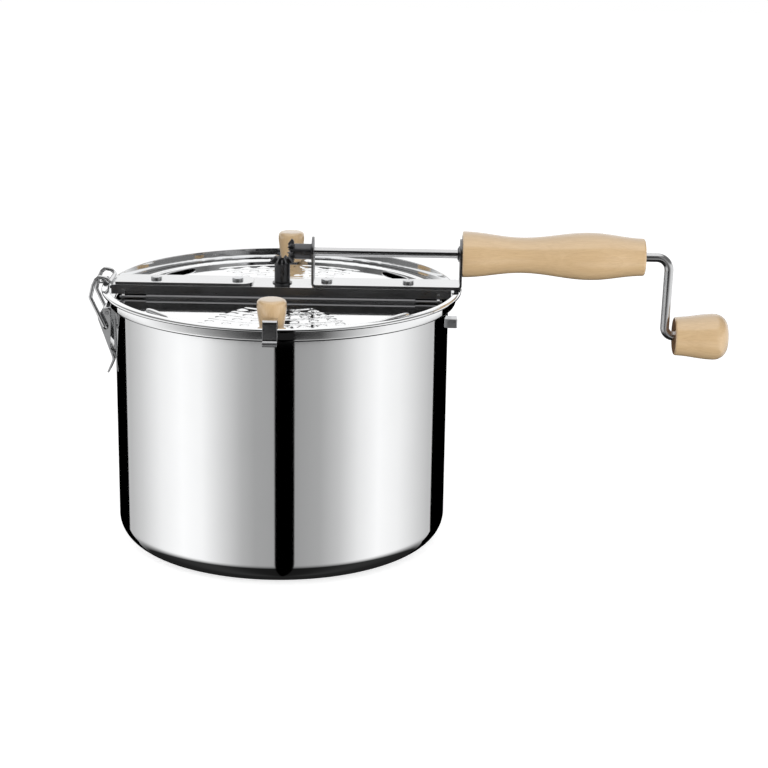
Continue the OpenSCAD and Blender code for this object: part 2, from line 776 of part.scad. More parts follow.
module back_flap() { flap(1); }

// A clip: under the knob, up inside the rim, over the bead and down outside
clip_z = flap_top_z + clip_t;
clip_leg_gap = 2;
clip_out_gap = 1.3;
clip_leg_y = band_inner_r - clip_leg_gap;
clip_out_y = bead_mid_r + bead_r + clip_out_gap;

module clip(side) {
  mid = clip_t / 2;
  color(dark_steel) on_side(side) difference() {
    rotate([90, 0, 90]) linear_extrude(clip_w, center = true) bent_sheet_2d(rounded([
      [knob_y - knob_foot_r, clip_z - mid],
      [clip_leg_y - mid, clip_z - mid],
      [clip_leg_y - mid, rim_z + clip_top - mid],
      [clip_out_y, rim_z + clip_top - mid],
      [clip_out_y, rim_z - clip_drop],
      [clip_out_y + clip_lip, rim_z - clip_drop - clip_lip / 4]
    ], 1.5 * clip_t), clip_t);
    translate([0, knob_y, 0]) post(screw_r + seat_gap, ledge_z, clip_z + over);
  }
}
module front_clip() { clip(-1); }
module back_clip() { clip(1); }

// A turned wooden flap knob, widest near its top
knob_round = 2.5;
knob_bore_h = 12;
knob_wide_share = 0.8;
function flap_knob_radius(s) =
  s < knob_wide_share ? ease(knob_foot_r, knob_top_r, s / knob_wide_share)
  : knob_top_r - knob_round / 8 * (s - knob_wide_share) / (1 - knob_wide_share);

module flap_knob(side) {
  color(wood) on_side(side) translate([0, knob_y, clip_z]) difference() {
    rotate_extrude()
      polygon(turned(function (s) flap_knob_radius(s), knob_h, screw_r / 4, knob_round, 8));
    post(screw_r + seat_gap, -over, knob_bore_h);
  }
}
module front_knob() { flap_knob(-1); }
module back_knob() { flap_knob(1); }

// The screw that holds knob and clip on the flap
screw_head_r = 3.6;
screw_head_h = 1.8;
screw_end_gap = 1;
module knob_screw(side) {
  color(satin) on_side(side) translate([0, knob_y, 0]) {
    post(screw_r, ledge_z, clip_z + knob_bore_h - screw_end_gap, $fn = small_fn);
    translate([0, 0, ledge_z - screw_head_h])
      cylinder(r1 = screw_head_r / 2, r2 = screw_head_r, h = screw_head_h, $fn = small_fn);
  }
}
module front_knob_screw() { knob_screw(-1); }
module back_knob_screw() { knob_screw(1); }

// Bevel gears: both have their apex where the shafts cross.
// The root, pitch and tip cones are given by their angles from the axis.
root_angle = 33;
tip_angle = 54;
root_half_share = 0.31;
tip_half_share = 0.11;
tooth_turn = 360 / teeth;

// Star outline at unit distance from the apex
star_points = [
  for (i = [0 : teeth - 1], p = [[root_angle, -root_half_share], [tip_angle, -tip_half_share],
                                 [tip_angle, tip_half_share], [root_angle, root_half_share]])
    tan(p[0]) * [cos(tooth_turn * (i + p[1])), sin(tooth_turn * (i + p[1]))]
];

// Inner and outer end of the gear along its axis
gear_front = gear_inner * sqrt(2);
gear_back = gear_reach * sqrt(2);
// The flat back is cut in by this much from the teeth's outer ends
gear_back_cut = 1.2;
hub_front = gear_reach * cos(root_angle) - gear_back_cut;
pyramid_h = gear_back + over;

module gear_teeth() {
  n = len(star_points);
  intersection() {
    polyhedron(
      points = concat([[0, 0, 0]],
        [for (p = star_points) [p[0] * pyramid_h, p[1] * pyramid_h, pyramid_h]]),
      faces = concat(
        [for (i = [0 : n - 1]) [0, 1 + i, 1 + (i + 1) % n]],
        [[for (i = [n - 1 : -1 : 0]) 1 + i]])
    );
    rotate_extrude() polygon([
      [0, gear_front], [gear_front, 0], [gear_back, 0], [gear_back - hub_front, hub_front],
      [0, hub_front]
    ]);
  }
}

// A gear on its shaft, with its axis along +Z from the apex.
// The hub's front is a cone that runs into the teeth.
gear_pin_r = 1;
hub_cone = 0.6;
rod_bore = rod_r + seat_gap;

module gear(hub_end, turn, pin_at) {
  difference() {
    union() {
      rotate(turn) gear_teeth();
      rotate_extrude() polygon([
        [0, hub_front - hub_cone], [hub_r - 2 * hub_cone, hub_front - hub_cone],
        [hub_r, hub_front + hub_cone], [hub_r, hub_end], [0, hub_end]
      ]);
    }
    post(rod_bore, -over, hub_end + over);
    translate([0, 0, pin_at]) cross_bar(gear_pin_r + seat_gap, 2 * hub_r + 2 * over);
  }
}

hub_out = upright_in - air;
hub_down = shaft_up - bridge_t - bushing_flange_h - air;
drive_pin_x = 14;
driven_pin_drop = 15;

// The gear on the crank has a tooth at the mesh, pointing down
module drive_gear() {
  color(dark_steel) translate([0, 0, shaft_z]) rotate([0, 90, 0]) gear(hub_out, 0, drive_pin_x);
}
module drive_gear_pin() {
  color(satin) translate([drive_pin_x, 0, shaft_z]) cross_bar(gear_pin_r, 2 * hub_r);
}
// The gear on the stirrer has a gap there
module driven_gear() {
  color(dark_steel) translate([0, 0, shaft_z]) rotate([180, 0, 0])
    gear(hub_down, tooth_turn / 2, driven_pin_drop);
}
module driven_gear_pin() {
  color(satin) translate([0, 0, shaft_z - driven_pin_drop]) cross_bar(gear_pin_r, 2 * hub_r);
}

// The crank: one rod from the gear through the handle, down and out to its knob
crank_x = handle_x1 + crank_out;
crank_turn = 90 + crank_lean;
both_bends_r = crank_bend_r + crank_low_bend_r;
arm_len = (crank_drop - both_bends_r * (1 - cos(crank_turn))) / sin(crank_turn);
crank_pin_x = crank_x + both_bends_r * sin(crank_turn) + arm_len * cos(crank_turn);
crank_pin_z = shaft_z - crank_drop;
nut_t = 1.2;
nut_r = 5.25;
knob_x = crank_pin_x + air;
knob_cup_r = 6.2;
knob_cup_depth = 4.5;
pin_stub = 1;
pin_x1 = knob_x + crank_knob_len - knob_cup_depth + air + nut_t + pin_stub;

module crank_rod() {
  color(steel) difference() {
    translate([gear_front, 0, shaft_z]) rotate([0, 90, 0]) wire(rod_r, [
      [crank_x - gear_front, crank_turn, crank_bend_r, 0],
      [arm_len, -crank_turn, crank_low_bend_r, 0],
      [pin_x1 - crank_pin_x, 0, 0, 0]
    ]);
    translate([drive_pin_x, 0, shaft_z]) cross_bar(gear_pin_r + seat_gap, 2 * rod_r + 2 * over);
  }
}

// A push nut: a thin disc with its middle raised
module push_nut(r, bore) {
  difference() {
    union() {
      cylinder(r = r, h = nut_t / 2, $fn = small_fn);
      cylinder(r1 = r - nut_t, r2 = (r + bore) / 2, h = nut_t, $fn = small_fn);
    }
    post(bore + seat_gap, -over, nut_t + over, $fn = small_fn);
  }
}
module crank_push_nut() {
  color(dark_steel) translate([upright_out - strip_t - air, 0, shaft_z]) rotate([0, -90, 0])
    push_nut(nut_r, rod_r);
}

// The turned wooden knob that spins on the crank's pin
crank_wide_share = 0.75;
crank_knob_round = 9;
crank_knob_edge = 1.5;
function crank_knob_radius(s) =
  s < crank_wide_share ? ease(crank_knob_in_r, crank_knob_r, s / crank_wide_share)
  : crank_knob_r - crank_knob_edge * (s - crank_wide_share);

module crank_knob() {
  color(wood) translate([knob_x, 0, crank_pin_z]) rotate([0, 90, 0]) difference() {
    rotate_extrude() polygon(turned(function (s) crank_knob_radius(s), crank_knob_len,
                                    crank_knob_edge, crank_knob_round, 12));
    post(rod_r + run_gap, -over, crank_knob_len);
    post(knob_cup_r, crank_knob_len - knob_cup_depth, crank_knob_len + over);
  }
}
module crank_knob_nut() {
  color(dark_steel)
    translate([knob_x + crank_knob_len - knob_cup_depth + air, 0, crank_pin_z])
      rotate([0, 90, 0]) push_nut(nut_r, rod_r);
}

// The stirrer: a shaft through the bridge, a foot and a wire that sweeps the pot's floor
foot_r = 6;
floor_gap = 2;
foot_z = inner_floor_z + floor_gap;
foot_h = 9;
wire_z = foot_z + foot_h / 2;
wire_bend_r = 6;

module stirrer_shaft() {
  color(steel) difference() {
    post(stirrer_r, foot_z, shaft_z - gear_front, $fn = small_fn);
    translate([0, 0, wire_z]) rotate([0, 90, 0])
      cylinder(r = stirrer_wire_r + seat_gap, h = 2 * foot_r, center = true, $fn = small_fn);
    translate([0, 0, shaft_z - driven_pin_drop])
      cross_bar(gear_pin_r + seat_gap, 2 * stirrer_r + 2 * over);
  }
}

// The ring that keeps the stirrer from rising out of its bearing
module stirrer_retainer() {
  top = rim_z - bushing_drop - air;
  color(dark_steel) difference() {
    post(foot_r, top - nut_t, top, $fn = small_fn);
    post(stirrer_r + seat_gap, top - nut_t - over, top + over, $fn = small_fn);
  }
}
module stirrer_foot() {
  color(satin) difference() {
    post(foot_r, foot_z, foot_z + foot_h, $fn = small_fn);
    post(stirrer_r + seat_gap, foot_z - over, foot_z + foot_h + over, $fn = small_fn);
    translate([0, 0, wire_z]) rotate([0, 90, 0])
      cylinder(r = stirrer_wire_r + seat_gap, h = 2 * foot_r + 2 * over, center = true,
               $fn = small_fn);
  }
}
module stirrer_wire() {
  straight = stirrer_reach - wire_bend_r;
  color(steel) {
    translate([0, 0, wire_z]) rotate([0, 90, 0])
      cylinder(r = stirrer_wire_r, h = 2 * straight, center = true, $fn = small_fn);
    for (side = [0, 180]) rotate(side) translate([straight, 0, wire_z + wire_bend_r]) {
      rotate([90, 0, 0]) rotate([0, 0, -90]) rotate_extrude(angle = 90)
        translate([wire_bend_r, 0]) circle(stirrer_wire_r, $fn = small_fn);
      translate([wire_bend_r, 0, 0])
        cylinder(r = stirrer_wire_r, h = stirrer_tip_h - wire_bend_r, $fn = small_fn);
    }
  }
}

pot_shell();
rim_ring();
base_plate();
side_lug();
latch_base();
latch_base_rivets();
latch_pin();
bridge();
tongue_catch();
latch_strip();
crank_bracket();
bridge_rivets();
stirrer_bushing();
handle_grip();
handle_sleeve();
front_hinge_rod();
back_hinge_rod();
front_flap();
front_clip();
front_knob();
front_knob_screw();
back_flap();
back_clip();
back_knob();
back_knob_screw();
crank_rod();
drive_gear();
drive_gear_pin();
crank_push_nut();
crank_knob();
crank_knob_nut();
stirrer_shaft();
driven_gear();
driven_gear_pin();
stirrer_retainer();
stirrer_foot();
stirrer_wire();
latch_lever();
latch_bail();
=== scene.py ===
# %% [markdown]
# # A stovetop popcorn popper
# The object is a mirror polished steel pot under a bridge that carries two half-moon flaps, a pair
# of bevel gears and a hand crank, with turned knobs and a turned handle of pale wood.
# The construction is loaded as a fixed frame. This script dresses it: it makes the pieces whose
# surface has to be smooth or finely bevelled, gives every piece its finish and sets up a studio.

# %% Frame
import json
import math

import bmesh
import bpy
from mathutils import Matrix, Vector


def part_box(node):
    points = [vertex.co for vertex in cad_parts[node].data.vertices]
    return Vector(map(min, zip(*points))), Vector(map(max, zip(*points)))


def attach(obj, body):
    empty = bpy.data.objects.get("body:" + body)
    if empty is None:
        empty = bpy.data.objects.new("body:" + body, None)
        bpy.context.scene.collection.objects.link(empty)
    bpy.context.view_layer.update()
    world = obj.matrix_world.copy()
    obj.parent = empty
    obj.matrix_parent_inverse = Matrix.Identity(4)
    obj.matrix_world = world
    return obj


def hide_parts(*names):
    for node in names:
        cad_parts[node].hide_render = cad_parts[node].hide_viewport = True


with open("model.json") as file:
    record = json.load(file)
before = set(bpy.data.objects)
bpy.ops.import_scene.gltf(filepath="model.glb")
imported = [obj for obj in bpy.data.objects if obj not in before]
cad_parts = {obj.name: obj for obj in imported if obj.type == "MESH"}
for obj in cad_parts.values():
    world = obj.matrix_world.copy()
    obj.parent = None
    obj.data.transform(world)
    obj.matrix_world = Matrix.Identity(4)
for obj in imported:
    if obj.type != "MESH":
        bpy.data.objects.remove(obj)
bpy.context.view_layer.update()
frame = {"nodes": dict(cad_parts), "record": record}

# %% [markdown]
# Sizes are written in millimetres, as on a drawing, and turned into metres by one factor.
# The record says which body each node rides on, so that comes from there.

# %% Units and lookups
MM = 0.001
BODY = {n: b for b, nodes in frame["record"]["behaviour"]["bodies"].items() for n in nodes}


def box_mm(node):
    """Lowest and highest corner of a node, in millimetres."""
    return [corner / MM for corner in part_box(node)]


# %% [markdown]
# Every material is a tree of nodes. A few helpers keep the trees readable: one adds a node and
# sets or links its inputs in one call, and the others stand for the sums that come back often.

# %% Node helpers
VALUE, COLOR, VECTOR = "NodeSocketFloat", "NodeSocketColor", "NodeSocketVector"


def new_group(name, inputs, outputs):
    """A shader node group, the sockets that it is given and the node that takes what it makes."""
    group = bpy.data.node_groups.new(name, "ShaderNodeTree")
    for label, kind, default in inputs:
        socket = group.interface.new_socket(label, in_out="INPUT", socket_type=kind)
        if default is not None:
            socket.default_value = default
    for label, kind in outputs:
        group.interface.new_socket(label, in_out="OUTPUT", socket_type=kind)
    return group, group.nodes.new("NodeGroupInput").outputs, group.nodes.new("NodeGroupOutput")


def feed(tree, node, values):
    """Sets or links a node's inputs by socket name or number."""
    for key, value in values.items():
        if isinstance(value, bpy.types.NodeSocket):
            tree.links.new(value, node.inputs[key])
        else:
            node.inputs[key].default_value = value
    return node


def add(tree, kind, values=None, **settings):
    """A node with its settings and its inputs."""
    node = tree.nodes.new(kind)
    for key, value in settings.items():
        setattr(node, key, value)
    return feed(tree, node, values or {})


def calc(tree, operation, a, b=0.0, **settings):
    """The result of a sum on one or two values."""
    return add(tree, "ShaderNodeMath", {0: a, 1: b}, operation=operation, **settings).outputs[0]


def spread(tree, value, low, high, out_low=0.0, out_high=1.0):
    """Maps a value from one range to another, clamped."""
    node = add(tree, "ShaderNodeMapRange", {0: value, 1: low, 2: high, 3: out_low, 4: out_high})
    return node.outputs[0]


def mix(tree, factor, a, b):
    """Goes from value a to value b by a factor."""
    return add(tree, "ShaderNodeMix", {0: factor, 2: a, 3: b}).outputs[0]


def mix_color(tree, factor, a, b):
    """Goes from colour a to colour b by a factor."""
    return add(tree, "ShaderNodeMix", {0: factor, 6: a, 7: b}, data_type="RGBA").outputs[2]


def stretched(tree, vector, by):
    """A place multiplied axis by axis, which stretches the pattern that reads it."""
    node = add(tree, "ShaderNodeVectorMath", {0: vector, 1: by}, operation="MULTIPLY")
    return node.outputs[0]


def noise(tree, vector, scale, detail, roughness):
    return add(tree, "ShaderNodeTexNoise",
               {"Vector": vector, "Scale": scale, "Detail": detail, "Roughness": roughness})


# %% [markdown]
# Polished or drawn steel is never quite even. Rubbing marks run one way, and handling leaves a
# faint bloom. All the steel finishes share this effect, so it is one node group with named inputs:
# it mixes a noise that is stretched along the rubbing with a broad cloudy one, and each finish
# only chooses its own values.

# %% Steel marks
MARK_SCALE = 900.0
MARK_RANGE = (0.3, 0.7)
CLOUD_SCALE = 38.0
CLOUD_RANGE = (0.42, 0.72)
MADE_BY_EFFECT = [("Color", COLOR), ("Roughness", VALUE), ("Height", VALUE)]


def make_steel_marks():
    group, given, made = new_group(
        "steel marks",
        [("Vector", VECTOR, None), ("Stretch", VECTOR, (1.0, 1.0, 1.0)),
         ("Roughness", VALUE, 0.1), ("Spread", VALUE, 0.04),
         ("Color", COLOR, (0.8, 0.8, 0.8, 1.0)), ("Stain", COLOR, (0.7, 0.7, 0.7, 1.0)),
         ("Stain amount", VALUE, 0.2)], MADE_BY_EFFECT)
    along = stretched(group, given["Vector"], given["Stretch"])
    rub = noise(group, along, MARK_SCALE, detail=3.0, roughness=0.6)
    cloud = noise(group, given["Vector"], CLOUD_SCALE, detail=4.0, roughness=0.55)
    marks = spread(group, rub.outputs[0], *MARK_RANGE)
    bloom = spread(group, cloud.outputs[0], *CLOUD_RANGE)
    extra = calc(group, "MULTIPLY", calc(group, "ADD", marks, bloom), given["Spread"])
    amount = calc(group, "MULTIPLY", bloom, given["Stain amount"])
    feed(group, made, {"Color": mix_color(group, amount, given["Color"], given["Stain"]),
                       "Roughness": calc(group, "ADD", extra, given["Roughness"]),
                       "Height": rub.outputs[0]})
    return group


steel_marks = make_steel_marks()
print(steel_marks.name, len(steel_marks.nodes), "nodes")


# %% [markdown]
# The wood is beech or maple: pale, close grained, with short darker flecks along the fibres and
# slow bands where the blank cut through the year rings. A picture could show that too, but a
# pattern in space runs through the wood as real grain does, so it fits on every side. The fibres
# run along X in the group, and the material turns the pattern for knobs that stand upright.

# %% Wood grain
WARP_SCALE = 9.0
WARP_BY = (0.006, 0.012, 0.012)
RING_SCALE = 70.0
RING_STRETCH = (0.06, 1.0, 1.0)
FIBRE_SCALE = 1500.0
FIBRE_STRETCH = (0.045, 1.0, 1.0)
FIBRE_DARK_RANGE = (0.35, 0.75)
FIBRE_DARKNESS = 0.35
FIBRE_ROUGH_RANGE = (0.3, 0.7)
FIBRE_ROUGHNESS = (0.34, 0.46)
FLECK_SCALE = 620.0
FLECK_STRETCH = (0.16, 1.0, 1.0)
FLECK_EDGE = (0.06, 0.2)


def make_wood_grain():
    group, given, made = new_group(
        "wood grain",
        [("Vector", VECTOR, None), ("Light", COLOR, (0.8, 0.65, 0.45, 1.0)),
         ("Dark", COLOR, (0.6, 0.42, 0.25, 1.0)), ("Ring amount", VALUE, 0.3),
         ("Fleck amount", VALUE, 0.3)], MADE_BY_EFFECT)
    place = given["Vector"]
    warp = noise(group, place, WARP_SCALE, detail=2.0, roughness=0.5)
    warped = add(group, "ShaderNodeVectorMath", {0: warp.outputs["Color"], 1: WARP_BY, 2: place},
                 operation="MULTIPLY_ADD")
    rings = add(group, "ShaderNodeTexWave",
                {"Vector": stretched(group, warped.outputs[0], RING_STRETCH), "Scale": RING_SCALE,
                 "Distortion": 3.0, "Detail": 2.0, "Detail Scale": 1.4, "Detail Roughness": 0.6},
                wave_type="BANDS", bands_direction="Y", wave_profile="SAW")
    fibres = noise(group, stretched(group, place, FIBRE_STRETCH), FIBRE_SCALE,
                   detail=3.0, roughness=0.65)
    flecks = add(group, "ShaderNodeTexVoronoi",
                 {"Vector": stretched(group, place, FLECK_STRETCH), "Scale": FLECK_SCALE})
    fleck_mask = spread(group, flecks.outputs["Distance"], *FLECK_EDGE, 1.0, 0.0)
    ring_part = calc(group, "MULTIPLY", rings.outputs[1], given["Ring amount"])
    fleck_part = calc(group, "MULTIPLY", fleck_mask, given["Fleck amount"])
    fibre_part = spread(group, fibres.outputs[0], *FIBRE_DARK_RANGE, 0.0, FIBRE_DARKNESS)
    darkness = calc(group, "ADD", calc(group, "ADD", ring_part, fleck_part), fibre_part,
                    use_clamp=True)
    feed(group, made, {"Color": mix_color(group, darkness, given["Light"], given["Dark"]),
                       "Roughness": spread(group, fibres.outputs[0], *FIBRE_ROUGH_RANGE,
                                           *FIBRE_ROUGHNESS),
                       "Height": fibres.outputs[0]})
    return group


wood_grain = make_wood_grain()
print(wood_grain.name, len(wood_grain.nodes), "nodes")


# %% [markdown]
# Every steel finish is the same shader with other values: how bright the metal is, how rough and
# by how much that varies, and which way it was rubbed. The stretch is small along the rubbing
# marks and large across them. Dull metal could also be a grey paint, but then it would not darken
# and brighten with its surroundings as bare metal does.

# %% Steel finishes
RELIEF_DEPTH = 0.0002
STAIN_SHADE = 0.8


def new_material(name):
    """A material, its tree and its shader, with the place on the object that patterns read."""
    mat = bpy.data.materials.new(name)
    mat.use_nodes = True
    tree = mat.node_tree
    place = add(tree, "ShaderNodeTexCoord").outputs["Object"]
    return mat, tree, tree.nodes["Principled BSDF"], place


def put_on(tree, shader, effect, bump):
    """Feeds a group's colour, roughness and height to the shader."""
    relief = add(tree, "ShaderNodeBump", {"Strength": bump, "Distance": RELIEF_DEPTH,
                                          "Height": effect.outputs["Height"]})
    feed(tree, shader, {"Base Color": effect.outputs["Color"],
                        "Roughness": effect.outputs["Roughness"], "Normal": relief.outputs[0]})


def steel(name, color, roughness, spread_by, stretch, stain=0.15, bump=0.02):
    mat, tree, shader, place = new_material(name)
    marks = add(tree, "ShaderNodeGroup",
                {"Vector": place, "Stretch": stretch, "Roughness": roughness,
                 "Spread": spread_by, "Color": (*color, 1.0),
                 "Stain": (*[STAIN_SHADE * c for c in color], 1.0), "Stain amount": stain},
                node_tree=steel_marks)
    put_on(tree, shader, marks, bump)
    feed(tree, shader, {"Metallic": 1.0})
    return mat


ROUND_Z = (1.0, 1.0, 30.0)
ALONG_X = (0.04, 1.0, 1.0)
ANY_WAY = (1.0, 1.0, 1.0)
mirror_steel = steel("mirror steel", (0.86, 0.865, 0.87), 0.035, 0.012, ROUND_Z,
                     stain=0.06, bump=0.006)
sheet_steel = steel("bright sheet steel", (0.66, 0.665, 0.67), 0.09, 0.04, ALONG_X, bump=0.012)
# Its dark colour is painted shade on the front and back faces of the bridge, strips and bracket
dull_and_painted_shade_steel = steel("dull edge steel", (0.2, 0.2, 0.205), 0.24, 0.1, ALONG_X, bump=0.04)
clip_steel = steel("spring clip steel", (0.58, 0.58, 0.59), 0.13, 0.05, ANY_WAY, bump=0.03)
satin_steel = steel("satin steel", (0.62, 0.63, 0.64), 0.22, 0.1, ALONG_X, bump=0.05)
drawn_steel = steel("drawn steel rod", (0.62, 0.62, 0.625), 0.12, 0.06, ALONG_X, bump=0.03)
dark_steel = steel("dark oxide steel", (0.17, 0.172, 0.178), 0.26, 0.12, ANY_WAY,
                   stain=0.5, bump=0.08)
gear_steel = steel("cast gear steel", (0.12, 0.12, 0.125), 0.3, 0.16, ANY_WAY,
                   stain=0.6, bump=0.2)
print("finishes", [mat.name for mat in bpy.data.materials])


# %% [markdown]
# The lacquer on the wood is a clear coat, the shader's own second layer, so the wood under it
# stays rough. Fibres run along the turning axis, which is X for the handle and the crank's knob,
# and Z for the knobs on the flaps. End grain soaks up more lacquer and looks darker.

# %% Wood finish
WOOD_LIGHT = (0.74, 0.525, 0.29)
WOOD_DARK = (0.5, 0.305, 0.145)
END_LIGHT = (0.46, 0.25, 0.12)
END_DARK = (0.27, 0.13, 0.06)
RING_AMOUNT = 0.1
FLECK_AMOUNT = 0.16
WOOD_BUMP = 0.06
LACQUER = {"Coat Weight": 1.0, "Coat IOR": 1.75, "Coat Roughness": 0.14}


def wood(name, upright=False, light=WOOD_LIGHT, dark=WOOD_DARK):
    mat, tree, shader, place = new_material(name)
    turn = (0.0, math.radians(90) if upright else 0.0, 0.0)
    turned_way = add(tree, "ShaderNodeMapping", {"Vector": place, "Rotation": turn})
    grain = add(tree, "ShaderNodeGroup",
                {"Vector": turned_way.outputs[0], "Light": (*light, 1.0), "Dark": (*dark, 1.0),
                 "Ring amount": RING_AMOUNT, "Fleck amount": FLECK_AMOUNT}, node_tree=wood_grain)
    put_on(tree, shader, grain, WOOD_BUMP)
    feed(tree, shader, LACQUER)
    return mat


wood_along = wood("lacquered wood along X")
wood_upright = wood("lacquered wood along Z", upright=True)
wood_end = wood("end grain", light=END_LIGHT, dark=END_DARK)
print("wood finishes", [mat.name for mat in (wood_along, wood_upright, wood_end)])


# %% [markdown]
# A finished piece stands for its nodes, rides on their body and takes their finish. Its mesh is
# merged and its faces are turned outwards before it is shaded smooth up to a crease angle.

# %% Mesh helpers
MERGE_DISTANCE = 0.5e-6
CREASE = 35
TURNED_CREASE = 50
THIN_CREASE = 60


def finish_mesh(mesh, crease, turn_out=True):
    """Merges doubled points, turns faces outwards and shades smooth up to the crease angle."""
    bm = bmesh.new()
    bm.from_mesh(mesh)
    bmesh.ops.remove_doubles(bm, verts=bm.verts, dist=MERGE_DISTANCE)
    if turn_out:
        bmesh.ops.recalc_face_normals(bm, faces=bm.faces)
    bm.to_mesh(mesh)
    bm.free()
    mesh.shade_smooth()
    mesh.set_sharp_from_angle(angle=math.radians(crease))
    return mesh


def new_object(name, mesh):
    piece = bpy.data.objects.new(name, mesh)
    bpy.context.scene.collection.objects.link(piece)
    return piece


def solid(name, points, faces, crease=CREASE):
    """A mesh object from points in millimetres."""
    mesh = bpy.data.meshes.new(name)
    mesh.from_pydata([Vector(p) * MM for p in points], [], faces)
    return new_object(name, finish_mesh(mesh, crease))


def settle(piece):
    """Turns a piece with live modifiers into a plain mesh."""
    bpy.context.view_layer.update()
    dg = bpy.context.evaluated_depsgraph_get()
    mesh = bpy.data.meshes.new_from_object(piece.evaluated_get(dg))
    piece.modifiers.clear()
    if piece.type == "MESH":
        piece.data = mesh
        return piece
    flat = new_object(piece.name + "_mesh", mesh)
    bpy.data.objects.remove(piece)
    return flat


def join(pieces, name):
    """Several mesh objects as one."""
    bm = bmesh.new()
    for p in pieces:
        bm.from_mesh(p.data)
    mesh = bpy.data.meshes.new(name)
    bm.to_mesh(mesh)
    bm.free()
    mesh.materials.clear()
    for p in pieces:
        bpy.data.objects.remove(p)
    return new_object(name, mesh)


def dress(piece, nodes, finish):
    """The piece stands for these nodes and gets their body and the given finish."""
    piece.data.materials.clear()
    piece.data.materials.append(finish)
    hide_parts(*nodes)
    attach(piece, BODY[nodes[0]])
    print(piece.name, len(piece.data.polygons), "faces")
    return piece


def second_finish(piece, finish, test):
    """Gives another finish to the faces whose normal and centre in millimetres pass a test."""
    piece.data.materials.append(finish)
    for face in piece.data.polygons:
        if test(face.normal, face.center / MM):
            face.material_index = 1


# %% [markdown]
# Turned and spun things are an outline that goes round an axis. The outline is a closed loop of
# radius and height. A matrix lays the axis where the piece needs it. Blender's Screw modifier
# could do it too. A loop in the script is as short, and it puts triangles round the poles, where
# the outline meets the axis.

# %% Lathe
ALONG_Z = Matrix.Identity(3)
TURN_TO_X = Matrix(((0, 0, 1), (0, 1, 0), (-1, 0, 0)))
LATHE_STEPS = 96


def arc(centre, radius, start, stop, count):
    """Points of an arc in degrees, both ends included."""
    angles = [math.radians(start + (stop - start) * i / count) for i in range(count + 1)]
    return [(centre[0] + radius * math.cos(a), centre[1] + radius * math.sin(a)) for a in angles]


def lathe(name, outline, place=(0, 0, 0), turn=ALONG_Z, steps=LATHE_STEPS, crease=CREASE):
    """A mesh object from an outline of radius and height, turned about an axis."""
    points = []
    for r, h in outline:
        for k in range(steps):
            a = 2 * math.pi * k / steps
            points.append(turn @ Vector((r * math.cos(a), r * math.sin(a), h)) + Vector(place))
    faces = []
    for i in range(len(outline)):
        j = (i + 1) % len(outline)
        if outline[i][0] == 0 and outline[j][0] == 0:
            continue
        for k in range(steps):
            m = (k + 1) % steps
            quad = [i * steps + k, i * steps + m, j * steps + m, j * steps + k]
            if outline[i][0] == 0:
                quad = [quad[0], quad[2], quad[3]]
            elif outline[j][0] == 0:
                quad = quad[:3]
            faces.append(quad)
    return solid(name, points, faces, crease)


# %% [markdown]
# The pot is one sheet, drawn deep and then rolled at the rim. Its outline goes up the outside,
# round the small bends of the ledge and the band, round the rolled bead and down the inside again.
# A spun mesh gives the mirror polish its even reflections, which a coarse one would break up.

# %% Pot
floor_z = box_mm("pot_shell")[0].z
ring_high = box_mm("rim_ring")[1]
rim_z = ring_high.z
bead_out_r = ring_high.x
BEAD_R = 1.4
BEAD_ANGLES = (165, 450)
BAND_BELOW_BEAD = 3.6
BAND_STEP = 5.0
SHEET = 1.0
CORNER_R = 15.0
LEDGE_DEPTH = 8.5
BEND_R = 1.6
SUPPORT = 0.15
POT_STEPS = 288
CORNER_OUT_STEPS = 16
CORNER_IN_STEPS = 14
BEAD_STEPS = 24
BEND_IN_STEPS = 5
BEND_OUT_STEPS = 6
band_r = bead_out_r - BAND_BELOW_BEAD
wall_r = band_r - BAND_STEP
ledge_z = rim_z - LEDGE_DEPTH


def supported(centre, radius, start, stop, count):
    """An arc with a point just before and after it, which keeps the runs beside it straight."""
    bend = arc(centre, radius, start, stop, count)
    step = SUPPORT if stop > start else -SUPPORT
    lead, tail = [(-step * math.sin(a), step * math.cos(a))
                  for a in (math.radians(start), math.radians(stop))]
    first, last = bend[0], bend[-1]
    return [(first[0] - lead[0], first[1] - lead[1]), *bend,
            (last[0] + tail[0], last[1] + tail[1])]


def pot_outline():
    inner = BEND_R - SHEET
    bead_z = rim_z - BEAD_R
    under = ledge_z - SHEET
    corner = (wall_r - CORNER_R, floor_z + CORNER_R)
    band_in_r = band_r - SHEET
    out = [(0, floor_z)]
    out += supported(corner, CORNER_R, -90, 0, CORNER_OUT_STEPS)
    out += supported((wall_r + inner, under - inner), inner, 180, 90, BEND_IN_STEPS)
    out += supported((band_r - BEND_R, under + BEND_R), BEND_R, -90, 0, BEND_OUT_STEPS)
    out += [(band_r, bead_z - BEAD_R), (band_r, bead_z + BEAD_R / 2)]
    out += supported((bead_out_r - BEAD_R, bead_z), BEAD_R, *BEAD_ANGLES, BEAD_STEPS)
    out += supported((band_in_r + inner, rim_z - inner), inner, 90, 180, BEND_IN_STEPS)
    out += supported((band_in_r - inner, ledge_z + inner), inner, 0, -90, BEND_IN_STEPS)
    out += supported((wall_r - SHEET + BEND_R, ledge_z - BEND_R), BEND_R, 90, 180, BEND_OUT_STEPS)
    out += supported(corner, CORNER_R - SHEET, 0, -90, CORNER_IN_STEPS)
    out += [(0, floor_z + SHEET)]
    return out


pot = lathe("pot_spun", pot_outline(), steps=POT_STEPS, crease=THIN_CREASE)
dress(pot, ["pot_shell", "rim_ring"], mirror_steel)


# %% [markdown]
# Handle and knobs are turned from one blank each. Their outlines swell and narrow in smooth
# steps, so a cosine blend between a few radii says all of it, with the ends rounded over.

# %% Turned wood
BODY_STEPS = 40
INNER_END_STEPS = 8
OUTER_END_STEPS = 10


